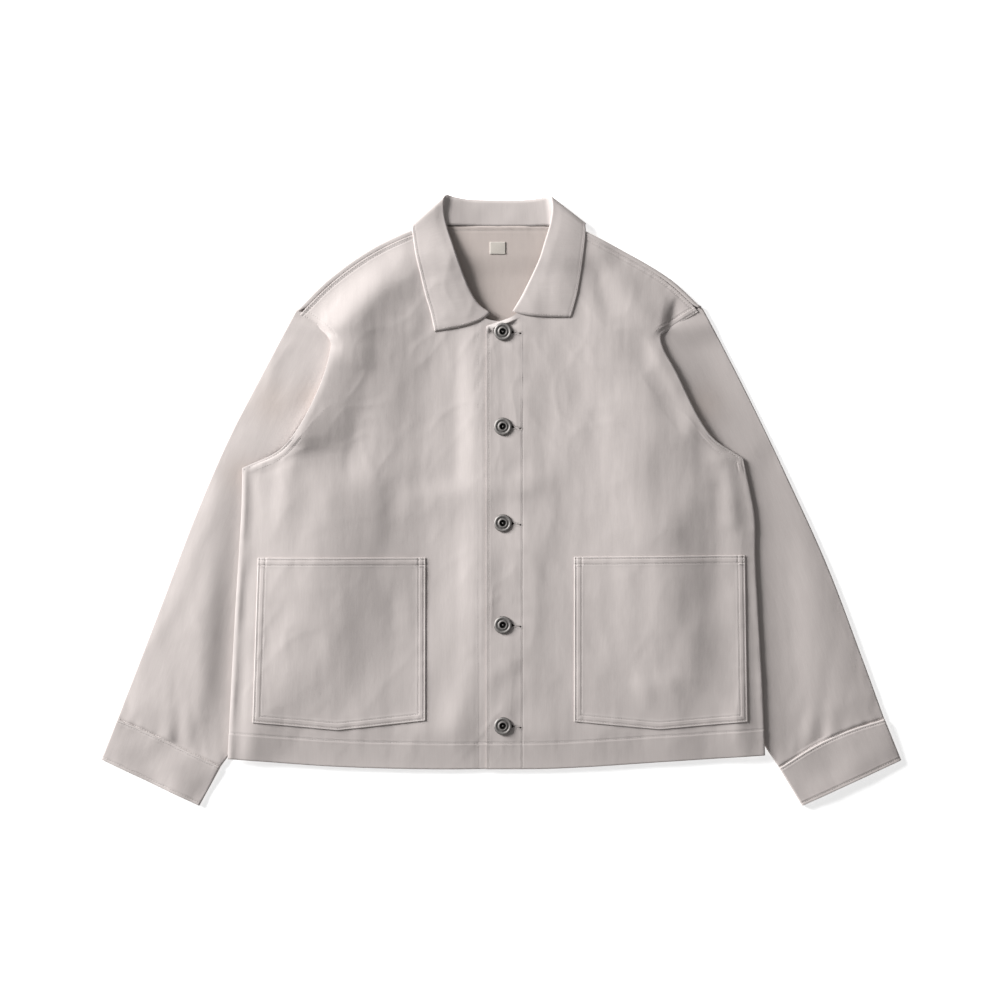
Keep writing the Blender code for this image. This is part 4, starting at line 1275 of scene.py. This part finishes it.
STAND_BACK_LEVEL = 2.9
FALL_BACK_LEVEL = 0.8
PEAK_RISE = 2.0
PEAK_X = 62.0
PEAK_WIDTH = 20.0
LOW_EDGE_WIDTH = 14.0
LOW_EDGE_SHARE = 0.42
LEAF_CROWN = 0.5
COLLAR_STEPS = 9
COLLAR_ROW = 3.0
STAND_LENGTH = 20.0
LEAF_LENGTH = 70.0
FAR = 99.0
STAND_SHARES = np.linspace(0.0, 1.0, 11)
LEAF_SHARES = np.concatenate(((0.008,), np.linspace(0.0, 0.9, 26)[1:], (0.93, 0.955, 0.975, 0.99, 1.0)))


def sampled(values, steps):
    """Rows between the given ones, on cubics through each column of values."""
    values = np.array(values, float)
    fine = np.linspace(0, len(values) - 1, (len(values) - 1) * steps + 1)
    slope = np.gradient(values, axis=0)
    low = np.minimum(fine.astype(int), len(values) - 2)
    return cubic(values[low], slope[low], values[low + 1], slope[low + 1], (fine - low)[:, None])


def collar_rows():
    """The table as one strip from the right leaf's point to the left one, in the picture's x."""
    strip = []
    for side in ("right", "left"):
        rows = [[c for point in row[:3] for c in (point[0] * SIDES[side]["sign"], point[1])] + list(row[3:])
                for row in COLLAR[side]]
        strip.append(rows)
    centre = [c for point in CENTRE_BACK[:3] for c in point] + list(CENTRE_BACK[3:])
    return sampled(strip[0] + [centre] + strip[1][::-1], COLLAR_STEPS)


def any_front(x, y):
    """The front's form at picture places on either side."""
    return np.where(x > 0, front_form("left", np.abs(x), y), front_form("right", np.abs(x), y))


def make_collar():
    """The collar's shell: for each row the stand, the roll and the leaf."""
    rows = collar_rows()
    neck, roll, edge = rows[:, None, 0:2], rows[:, None, 2:4], rows[:, None, 4:6]
    turn, bow = np.clip(rows[:, 6:7], 0, 1), rows[:, 7:8]
    leaf = roll + (edge - roll) * LEAF_SHARES[None, :, None]
    leaf[..., 1] -= bow * np.sin(np.pi * LEAF_SHARES ** 0.6)
    stand = neck + (roll - neck) * STAND_SHARES[None, :, None]
    plan = np.concatenate((stand, leaf), axis=1)
    x, y = plan[..., 0], plan[..., 1]
    on_leaf = np.arange(plan.shape[1]) >= len(STAND_SHARES)
    width = np.linalg.norm((edge - roll)[:, 0], axis=1)[:, None]
    edge_gap = np.concatenate((np.full(len(STAND_SHARES), FAR), 1 - LEAF_SHARES)) * width
    end_gap = np.minimum(beside(plan[0], x, y)[0], beside(plan[-1], x, y)[0])
    low_edge = bell(np.minimum(edge_gap, end_gap), LOW_EDGE_WIDTH) * on_leaf
    height_share = np.concatenate((0.35 * STAND_SHARES ** 2, 0.7 + 0.3 * ease(LEAF_SHARES / 0.3)))
    crown = np.concatenate((0 * STAND_SHARES, LEAF_CROWN * np.sin(np.pi * LEAF_SHARES)))
    soft = on_leaf * (0.25 * ripple(x, y, (19.0, 34.0), 72) + crumple(x, y, 73, height=0.08))
    seams = 0.6 * groove(edge_gap - COLLAR_ROW) + 0.6 * round_over(edge_gap, 1.0)
    seams = seams + on_leaf * (0.6 * groove(end_gap - COLLAR_ROW) + 0.8 * round_over(end_gap, 1.0))
    lying = LEAF_RISE * height_share * (1 - LOW_EDGE_SHARE * low_edge)
    front = any_front(x, y) + lying + crown + soft * (1 - low_edge)
    fall = STAND_BACK_LEVEL + (FALL_BACK_LEVEL - STAND_BACK_LEVEL) * height_share
    dents = 0.5 * ripple(x, y, (17.0, 22.0), 71) + PEAK_RISE * bell(np.abs(x) - PEAK_X, PEAK_WIDTH)
    level = (front + seams) * (1 - turn) + (fall + dents * (1 - height_share)) * turn
    down = np.concatenate((STAND_SHARES * STAND_LENGTH, STAND_LENGTH + LEAF_SHARES * LEAF_LENGTH))
    grain = np.dstack(np.broadcast_arrays(travel(roll[:, 0])[:, None], down))
    rubbed = bell(np.minimum(edge_gap, np.where(on_leaf, end_gap, FAR)), 0.9)
    from_fold = (LEAF_SHARES[0] + np.concatenate((1 - STAND_SHARES, LEAF_SHARES))) * width
    wear_and_highlight = (0.25 * rubbed + 0.05 * bell(from_fold, 2.2)) * (1 - turn)
    marks = {"wear_and_highlight": np.clip(wear_and_highlight, 0, 1)}
    return cloth("cloth_collar", np.dstack((plan, level)), grain, COLLAR_CLOTH, TWILL, marks=marks)


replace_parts(make_collar(), "collar")

# %% [markdown]
# All the seams that show are top stitched with a thread of nearly the cloth's own colour. Each stitch is a
# short thread that comes up, lies on the cloth and goes down again. Blender could instance one along a curve.
# Here all stitches of a piece are one mesh from arrays, because they then follow the shell's own heights.

# %% Stitches
STITCH_PITCH = 3.1
STITCH_LENGTH = 2.5
STITCH_START = 0.1
STITCH_SHIFT = 0.25
STITCH_WANDER = 0.05
STITCH_SEED = 7
THREAD_RADIUS = 0.24
THREAD_COLOUR = (0.60, 0.558, 0.54)
THREAD_BUMP = 0.00005
STITCH_STEPS = np.array((0.0, 0.12, 0.5, 0.88, 1.0))
STITCH_GIRTH = np.array((0.45, 0.95, 1.0, 0.95, 0.45))
STITCH_LIFT = np.array((-0.15, 0.04, 0.12, 0.04, -0.15))


def wave(tree, place, scale, distortion, direction):
    """Factor of even bands over the given coordinates."""
    inputs = {"Vector": place, "Scale": scale, "Distortion": distortion}
    return add_node(tree, "ShaderNodeTexWave", inputs, bands_direction=direction).outputs["Fac"]


def thread_material():
    """Matt cotton thread, uneven in colour, with its twist as a fine bump."""
    made, tree, shader = new_material("cotton_thread")
    place = object_place(tree)
    uneven = noise(tree, place, 300.0)
    twist = wave(tree, place, 2200.0, 2.0, "DIAGONAL")
    set_inputs(tree, shader, {
        "Base Color": mixed(tree, ranged(tree, uneven, 0.3, 0.7), toned(THREAD_COLOUR, 0.9), THREAD_COLOUR),
        "Roughness": ranged(tree, uneven, 0.3, 0.7, 0.62, 0.8),
        "Normal": bumped(tree, twist, 0.5, THREAD_BUMP),
    })
    return made


THREAD = thread_material()


def sew(name, runs, pitch=STITCH_PITCH, length=STITCH_LENGTH):
    """Stitches along runs of points, as one mesh of tubes with five rings of four corners each.

    A ring's corner lies at centre + radius * (cos a * sideways + sin a * up), for four angles a.
    """
    random = np.random.default_rng(len(name) + STITCH_SEED)
    starts, ends = [], []
    for run in runs:
        begin = np.arange(STITCH_START, travel(run)[-1] - length, pitch)
        begin = begin + random.uniform(0.0, STITCH_SHIFT, len(begin)) * (pitch - length)
        starts.append(places_on(run, begin))
        ends.append(places_on(run, begin + length))
    start, end = np.vstack(starts), np.vstack(ends)
    start = start + random.normal(0.0, STITCH_WANDER, start.shape) * (1, 1, 0)
    centre = start[:, None] + (end - start)[:, None] * STITCH_STEPS[:, None]
    centre[..., 2] += STITCH_LIFT
    heading = unit(end - start)
    sideways = np.stack((-heading[:, 1], heading[:, 0], 0 * heading[:, 0]), axis=1)
    angle = np.radians((45.0, 135.0, 225.0, 315.0))
    ring = np.cos(angle)[:, None] * sideways[:, None] + np.sin(angle)[:, None] * (0.0, 0.0, 1.0)
    points = centre[:, :, None] + THREAD_RADIUS * STITCH_GIRTH[:, None, None] * ring[:, None]
    number = np.arange(points[..., 0].size).reshape(points.shape[:3])
    around = np.roll(number, -1, axis=2)
    sides = np.stack((number[:, :-1], number[:, 1:], around[:, 1:], around[:, :-1]), axis=-1).reshape(-1, 4)
    caps = np.vstack((number[:, 0], number[:, -1, ::-1]))
    new_object(name, mesh_of(name, points, np.vstack((sides, caps))), THREAD)
    print(f"{name}: {len(start)} stitches")


FRONT_ROWS = {
    # where the hem's row begins, the upright rows, and where the shoulder's rows come out beside the collar
    "right": (20.0, (UNDER_FRONT_ROW,), 105.0),
    "left": (PLACKET_EDGE + 1.0, (PLACKET_EDGE + PLACKET_EDGE_ROW, PLACKET_EDGE + PLACKET_WIDTH), 98.0),
}
ARMHOLE_STRETCHES = ((35.0, 74.0), (190.0, 230.0))
TACK_REACH = 2.0


def on_front(side, line, keep):
    """The points of a plan line where keep is true, laid on a front."""
    x, y = line[:, 0], line[:, 1]
    height = front_level(side, x, y) + THIN_CLOTH / 2
    return (np.column_stack((x, y, height)) * (SIDES[side]["sign"], 1, 1))[keep]


def front_runs(side):
    """Rows of a front: hem, armhole, shoulder, and placket or facing."""
    data = SIDES[side]
    hem = shifted(line_of(data["hem"], 160), -HEM_DEPTH)
    first, uprights, beside_collar = FRONT_ROWS[side]
    runs = [on_front(side, hem, (hem[:, 0] > first) & (hem[:, 0] < edge_x(side, hem[:, 1]) - 1.5))]
    for row in ARMHOLE_ROWS:
        line = shifted(line_of(data["armhole"], 120), -row)
        for low, high in ARMHOLE_STRETCHES:
            runs.append(on_front(side, line, (line[:, 1] > low) & (line[:, 1] < high)))
    for row in (data["wrap"] + 1.9, data["shoulder_rows"]):
        line = shifted(line_of(data["fold"], 120), row)
        shown = (line[:, 0] > beside_collar) & (line[:, 0] < data["fold"][-1][0] - 6.0)
        runs.append(on_front(side, line, shown))
    for place in uprights:
        upright = np.column_stack((np.full(170, place), np.linspace(-306.0, 207.0, 170)))
        top = 196.0 if place < 0 else 207.0
        runs.append(on_front(side, upright, upright[:, 1] < top))
    return runs


sew("stitches_fronts", [run for side in SIDES for run in front_runs(side) if len(run) > 1])


def inset(corners, distance):
    """A closed outline moved inwards: each corner goes along both edges' normals, over 1 + their product."""
    corners = np.asarray(corners, float)
    run = unit(np.roll(corners, -1, axis=0) - corners)
    turning = np.sign(np.sum(np.cross(run, np.roll(run, -1, axis=0))))
    normal = turning * np.stack((-run[:, 1], run[:, 0]), axis=1)
    before = np.roll(normal, 1, axis=0)
    return corners + distance * (normal + before) / (1 + np.sum(normal * before, axis=1))[:, None]


def on_pocket(side, points):
    """A straight-edged line laid on a pocket, with a point every millimetre or so."""
    steps = [np.linspace(a, b, max(2, int(np.linalg.norm(b - a)) + 1)) for a, b in zip(points, points[1:])]
    line = np.vstack(steps)
    height = pocket_level(side, line[:, 0], line[:, 1]) + THIN_CLOTH / 2
    return np.column_stack((line, height)) * (SIDES[side]["sign"], 1, 1)


def pocket_runs(side):
    """Both rows round a pocket, and the bar tacks that close the two upper corners."""
    rows = [inset(pocket_lines(side)[1], distance) for distance in POCKET_ROWS]
    loops = [on_pocket(side, np.vstack((row, row[:1]))) for row in rows]
    tacks = []
    for corner in (0, 4):
        place, inward = rows[0][corner], rows[1][corner]
        across_x = np.array((inward[0], place[1]))
        lower = np.array((place[0], inward[1] - TACK_REACH))
        lower_in = np.array((inward[0], inward[1] - TACK_REACH))
        for offset in (0.0, 0.7):
            tacks.append(on_pocket(side, np.array((lower, lower_in)) + (0, offset)))
        tacks.append(on_pocket(side, np.array((across_x, lower_in))))
    return loops, tacks


pocket_rows = {side: pocket_runs(side) for side in SIDES}
sew("stitches_pockets", [loop for loops, _ in pocket_rows.values() for loop in loops])
sew("pocket_tacks", [tack for _, tacks in pocket_rows.values() for tack in tacks], pitch=1.35, length=1.25)


def row_inside(grid, distance):
    """For each column of a grid, the point that lies this far from its first row, along the column."""
    travelled = travel(grid)
    low = np.maximum((travelled <= distance).sum(axis=0) - 1, 0)
    pick = np.arange(grid.shape[1])
    share = (distance - travelled[low, pick]) / (travelled[low + 1, pick] - travelled[low, pick])
    return grid[low, pick] + (grid[low + 1, pick] - grid[low, pick]) * share[:, None]


def sleeve_runs(side):
    """Rows at a sleeve's end: on the sleeve just above the seam, on the cuff below it and near its edge."""
    upper = slice(5, len(SLEEVE_U) - 5)
    sleeve, cuff = (GRIDS[f"cloth_{part}_{side}"][:, upper] for part in ("sleeve", "cuff"))
    return [row_inside(sleeve[::-1], SLEEVE_ROW) + (0, 0, CLOTH / 2),
            row_inside(cuff, CUFF_ROWS[0]) + (0, 0, CUFF_CLOTH / 2),
            row_inside(cuff[::-1], CUFF_ROWS[1]) + (0, 0, CUFF_CLOTH / 2)]


sew("stitches_cuffs", [run for side in SIDES for run in sleeve_runs(side)])


def collar_runs():
    """Rows on the collar's leaves: along the outer edge and along both ends."""
    leaf = GRIDS["cloth_collar"][:, len(STAND_SHARES):]
    outer = row_inside(leaf.transpose(1, 0, 2)[::-1], COLLAR_ROW)
    shown = 6 * COLLAR_STEPS
    inner = slice(3, -6)
    ends = [row_inside(side, COLLAR_ROW)[inner] for side in (leaf, leaf[::-1])]
    runs = [outer[2:shown], outer[-shown:-2], *ends]
    return [run + (0, 0, COLLAR_CLOTH / 2) for run in runs]


sew("stitches_collar", collar_runs())
neck_x = np.linspace(-57.0, 57.0, 80)
neck_y = np.full(80, NECK_SEAM_Y - NECK_ROW)
sew("stitches_neck", [np.column_stack((neck_x, neck_y, back_level(neck_x, neck_y) + CLOTH / 2))])

# %% [markdown]
# The five buttons are cast rings of tarnished metal with a sunken hole, whose near black is painted shade.
# Each is turned from one profile. A lathe is also how the CAD solid was made, but this profile has the ring's
# two ridges.

# %% Buttons
BUTTON_PROFILE = (
    (0.0, 0.0), (9.3, 0.0), (10.1, 0.35), (10.3, 1.0), (10.1, 1.7), (9.3, 2.3), (8.4, 2.5), (7.6, 2.35),
    (7.0, 1.95), (6.5, 1.75), (6.0, 1.85), (5.4, 2.2), (4.8, 2.5), (4.2, 2.55), (3.6, 2.3), (3.3, 1.8),
    (3.2, 0.7), (2.9, 0.5), (1.2, 0.5), (0.95, 0.7), (0.9, 1.1), (0.6, 1.3), (0.0, 1.35),
)
BUTTON_TURNS = 64
SEAT_RADIUS = 10.0
METAL_COLOUR = (0.27, 0.255, 0.245)
HOLE_SHADE_COLOUR = (0.012, 0.011, 0.010)
METAL_BUMP = 0.00006


def metal_material():
    """Aged grey metal: cloudy tarnish, painted shade in the hole, paler from wear on the ridges."""
    made, tree, shader = new_material("aged_metal")
    cloud = noise(tree, object_place(tree), 420.0, 5.0)
    tarnish = mixed(tree, ranged(tree, cloud, 0.35, 0.65), toned(METAL_COLOUR, 0.55), METAL_COLOUR)
    wear_and_highlight = mixed(tree, mark_of(tree, "ridge"), tarnish, toned(METAL_COLOUR, 1.35))
    set_inputs(tree, shader, {
        # painted shade: the hole turns near black
        "Base Color": mixed(tree, mark_of(tree, "hole"), wear_and_highlight, HOLE_SHADE_COLOUR),
        "Metallic": 0.75,
        "Roughness": ranged(tree, cloud, 0.3, 0.7, 0.48, 0.68),
        "Normal": bumped(tree, cloud, 0.6, METAL_BUMP),
    })
    return made


METAL = metal_material()


def make_button(number, y):
    """One button: the profile turned round, its poles merged, with marks for ridges and hole."""
    angle = np.linspace(0.0, 2 * math.pi, BUTTON_TURNS, endpoint=False)
    radius, rise = np.array(BUTTON_PROFILE).T
    across, up = np.cos(angle), np.sin(angle)
    seat = front_level("left", BUTTON_X + SEAT_RADIUS * across, y + SEAT_RADIUS * up).mean() + THIN_CLOTH / 2
    points = np.stack((BUTTON_X + radius[:, None] * across, y + radius[:, None] * up,
                       seat + np.repeat(rise[:, None], BUTTON_TURNS, axis=1)), axis=-1)
    index = np.arange(points[..., 0].size).reshape(points.shape[:2])
    after = np.roll(index, -1, axis=1)
    faces = np.stack((index[:-1], after[:-1], after[1:], index[1:]), axis=-1)
    mesh = mesh_of(f"button {number}", points, faces)
    # painted shade on the hole's wall and floor, then wear on both ridges of the ring and the knob in the
    # hole
    hole = 1.0 * ((radius < 3.7) & (radius > 1.0) & (rise < 2.4) & (rise > 0.4))
    ridge = 0.8 * ((rise > 2.25) & (rise < 2.6)) + 0.5 * ((radius < 0.95) & (rise > 1.0))
    for mark, values in (("hole", hole), ("ridge", ridge)):
        set_mark(mesh, mark, np.repeat(values, BUTTON_TURNS))
    shape = bmesh.new()
    shape.from_mesh(mesh)
    bmesh.ops.remove_doubles(shape, verts=shape.verts, dist=1e-7)
    bmesh.ops.recalc_face_normals(shape, faces=shape.faces)
    shape.to_mesh(mesh)
    shape.free()
    piece = new_object(f"metal_button_{number}", mesh, METAL)
    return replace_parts(piece, f"button_{number}")


for button_number, button_place in enumerate(BUTTON_Y, 1):
    make_button(button_number, button_place)

# %% [markdown]
# Each buttonhole is a keyhole slit, worked round with close stitches. Behind the button's rim it gapes as a
# small dark triangle, then runs on as a fine slit to a round end. A real cut through the shell would be finer
# than its cells, so the openings are thin slivers of painted shade that lie on the cloth.

# %% Buttonholes
SLIT_REACH = (8.2, 20.3)
SLIT_FALL = 2.0
SLIT_LIFT = 0.06
WORKED_FROM = 3.0
WORKED_PITCH = 0.62
WORKED_SIDE = 0.45
WORKED_LENGTH = 1.75
FAN_ANGLES = np.radians(np.arange(-75.0, 76.0, 21.0))
FAN_REACH = (1.1, 2.75)
SLIT_OUTLINE = ((8.8, 2.3), (10.6, 2.0), (12.4, 0.7), (13.2, 0.22), (18.6, 0.2), (19.4, 0.75), (20.3, 0.95),
                (21.2, 0.7), (21.6, 0.0))
SHADE_COLOURS = ((0.010, 0.008, 0.007), (0.045, 0.036, 0.032))


def slit_fall(reach):
    """How far the slit has sunk at a distance from the button's centre."""
    return -SLIT_FALL * ease((reach - SLIT_REACH[0]) / (SLIT_REACH[1] - SLIT_REACH[0]))


def shade_material():
    """Painted shade for the dark inside of a buttonhole."""
    made, tree, shader = new_material("buttonhole_shade")
    set_inputs(tree, shader, {
        "Base Color": mixed(tree, noise(tree, object_place(tree), 900.0), *SHADE_COLOURS),
        "Roughness": 0.95,
        "Specular IOR Level": 0.1,
    })
    return made


def make_slits():
    """All five openings as one mesh: a strip of cells between the outline's lower and upper side."""
    reach, half = np.array(SLIT_OUTLINE).T
    strips = []
    for y in BUTTON_Y:
        middle = y + slit_fall(reach)
        plan = np.stack([np.column_stack((BUTTON_X + reach, middle + side * half)) for side in (-1.0, 1.0)])
        height = front_level("left", plan[..., 0], plan[..., 1]) + THIN_CLOTH / 2 + SLIT_LIFT
        strips.append(np.dstack((plan, height)))
    faces = quads_of(2, len(reach)) + 2 * len(reach) * np.arange(len(strips))[:, None, None, None]
    mesh = mesh_of("buttonhole openings", np.array(strips), faces)
    return new_object("buttonhole_openings", mesh, shade_material())


def worked_edges():
    """Short threads across the slit's edge, close together on both sides and fanned round its end."""
    runs = []
    for y in BUTTON_Y:
        reach = np.arange(SLIT_REACH[0] + WORKED_FROM, SLIT_REACH[1] - 0.5, WORKED_PITCH)
        for side in (-1.0, 1.0):
            near = np.column_stack((BUTTON_X + reach, y + slit_fall(reach) + side * WORKED_SIDE))
            far = near + np.array((0.0, side * WORKED_LENGTH))
            runs += [np.array(pair) for pair in zip(near, far)]
        for angle in FAN_ANGLES:
            away = np.array((math.cos(angle), math.sin(angle)))
            centre = np.array((BUTTON_X + SLIT_REACH[1], y - SLIT_FALL))
            runs.append(np.array([centre + reach_out * away for reach_out in FAN_REACH]))
    plan = np.array(runs)
    height = front_level("left", plan[..., 0], plan[..., 1]) + THIN_CLOTH / 2
    return np.concatenate((plan, height[..., None]), axis=-1)


make_slits()
sew("buttonhole_edges", worked_edges(), pitch=9.0, length=1.5)

# %% [markdown]
# A small woven label is sewn in below the neck seam with a stitch at each corner. It is left bare.

# %% Label
LABEL_PLACE = (-5.0, 290.5)
LABEL_SIZE = (18.0, 14.0)
LABEL_CLOTH = 0.5
LABEL_GAP = 0.15
LABEL_CROWN = 0.25
LABEL_COLOUR = (0.62, 0.575, 0.52)
LABEL_EDGE_COLOUR = (0.68, 0.64, 0.59)
CORNER_INSET = 1.2


def tape_material():
    """A tightly woven tape: fine ribs across it, a little paler along its edges."""
    made, tree, shader = new_material("label_tape")
    grain = add_node(tree, "ShaderNodeUVMap", uv_map="grain").outputs[0]
    ribs = wave(tree, grain, 900.0, 1.0, "Y")
    base = mixed(tree, noise(tree, grain, 500.0), toned(LABEL_COLOUR, 0.88), LABEL_COLOUR)
    set_inputs(tree, shader, {
        "Base Color": mixed(tree, mark_of(tree, "wear_and_highlight"), base, LABEL_EDGE_COLOUR),
        "Roughness": ranged(tree, ribs, 0.0, 1.0, 0.85, 0.7),
        "Normal": bumped(tree, ribs, 0.5, THREAD_BUMP),
    })
    return made


def on_back(x, y, lift):
    """Points on the back's upper surface, raised by a lift."""
    return np.stack((x, y, back_level(x, y) + CLOTH / 2 + lift), axis=-1)


def make_label():
    """The label's shell, slightly raised in its middle."""
    u, v = np.meshgrid(np.linspace(-0.5, 0.5, 25), np.linspace(-0.5, 0.5, 21))
    x, y = LABEL_PLACE[0] + LABEL_SIZE[0] * u, LABEL_PLACE[1] + LABEL_SIZE[1] * v
    crown = LABEL_CROWN * (1 - 4 * u ** 2) * (1 - 4 * v ** 2)
    edge = np.minimum((0.5 - np.abs(u)) * LABEL_SIZE[0], (0.5 - np.abs(v)) * LABEL_SIZE[1])
    grid = on_back(x, y, LABEL_CLOTH / 2 + LABEL_GAP + crown)
    marks = {"wear_and_highlight": 0.7 * bell(edge, 0.8)}
    piece = cloth("cloth_label", grid, grid[..., :2], LABEL_CLOTH, tape_material(), marks=marks)
    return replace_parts(piece, "neck_label")


make_label()
corner_runs = []
half_width, half_height = (size / 2 - CORNER_INSET for size in LABEL_SIZE)
for hand_x in (-1.0, 1.0):
    for hand_y in (-1.0, 1.0):
        corner = np.array(LABEL_PLACE) + (hand_x * half_width, hand_y * half_height)
        ends = np.array((corner - (1.0, 0.0), corner + (1.0, 0.0)))
        corner_runs.append(on_back(ends[:, 0], ends[:, 1], LABEL_CLOTH + 0.2))
sew("label_stitches", corner_runs, pitch=9.0, length=1.7)

# %% [markdown]

# %% [markdown]
# The table under the jacket is plain and almost white. It isn't part of the object.
# A little light of its own keeps it white where the lamp's light falls off.

# %% Table
TABLE_SIZE = 8.0
TABLE_DROP = 0.0004
TABLE_GREY = 0.92
TABLE_GLOW = 0.62


def make_table():
    """A square of the table's size, just below the cloth."""
    half = TABLE_SIZE / 2
    mesh = bpy.data.meshes.new("table")
    corners = [(x * half, y * half, -TABLE_DROP) for x, y in ((-1, -1), (1, -1), (1, 1), (-1, 1))]
    mesh.from_pydata(corners, [], [(0, 1, 2, 3)])
    paint, tree, shader = new_material("table_paint")
    set_inputs(tree, shader, {
        "Base Color": (TABLE_GREY, TABLE_GREY, TABLE_GREY, 1.0),
        "Roughness": 0.9,
        "Emission Color": (1.0, 1.0, 1.0, 1.0),
        "Emission Strength": TABLE_GLOW,
    })
    mesh.materials.append(paint)
    table = bpy.data.objects.new("table", mesh)
    bpy.context.scene.collection.objects.link(table)
    return table


make_table()
print("table laid")

# %% [markdown]
# A soft lamp stands low at the left, a little towards the collar, so ridges are bright on that side and dark
# on the other, and the sleeve at the picture's left is the brighter one. A pale world fills the shadows.

# %% Light
LAMP_PLACE = (-3.73, 1.98, 1.54)
LAMP_SIZE = 1.8
LAMP_POWER = 450.0
WORLD_LIGHT = 0.18


def make_light():
    """The lamp, pointed at the jacket, and the world's fill."""
    data = bpy.data.lights.new("lamp", "AREA")
    data.energy = LAMP_POWER
    data.size = LAMP_SIZE
    lamp = bpy.data.objects.new("lamp", data)
    lamp.location = LAMP_PLACE
    lamp.rotation_euler = (-lamp.location).to_track_quat("-Z", "Y").to_euler()
    bpy.context.scene.collection.objects.link(lamp)
    world = bpy.data.worlds.new("room")
    world.use_nodes = True
    world.node_tree.nodes["Background"].inputs[0].default_value = (1.0, 1.0, 1.0, 1.0)
    world.node_tree.nodes["Background"].inputs[1].default_value = WORLD_LIGHT
    bpy.context.scene.world = world
    bpy.context.scene.view_settings.view_transform = "Standard"


make_light()
print("lamp at", LAMP_PLACE)
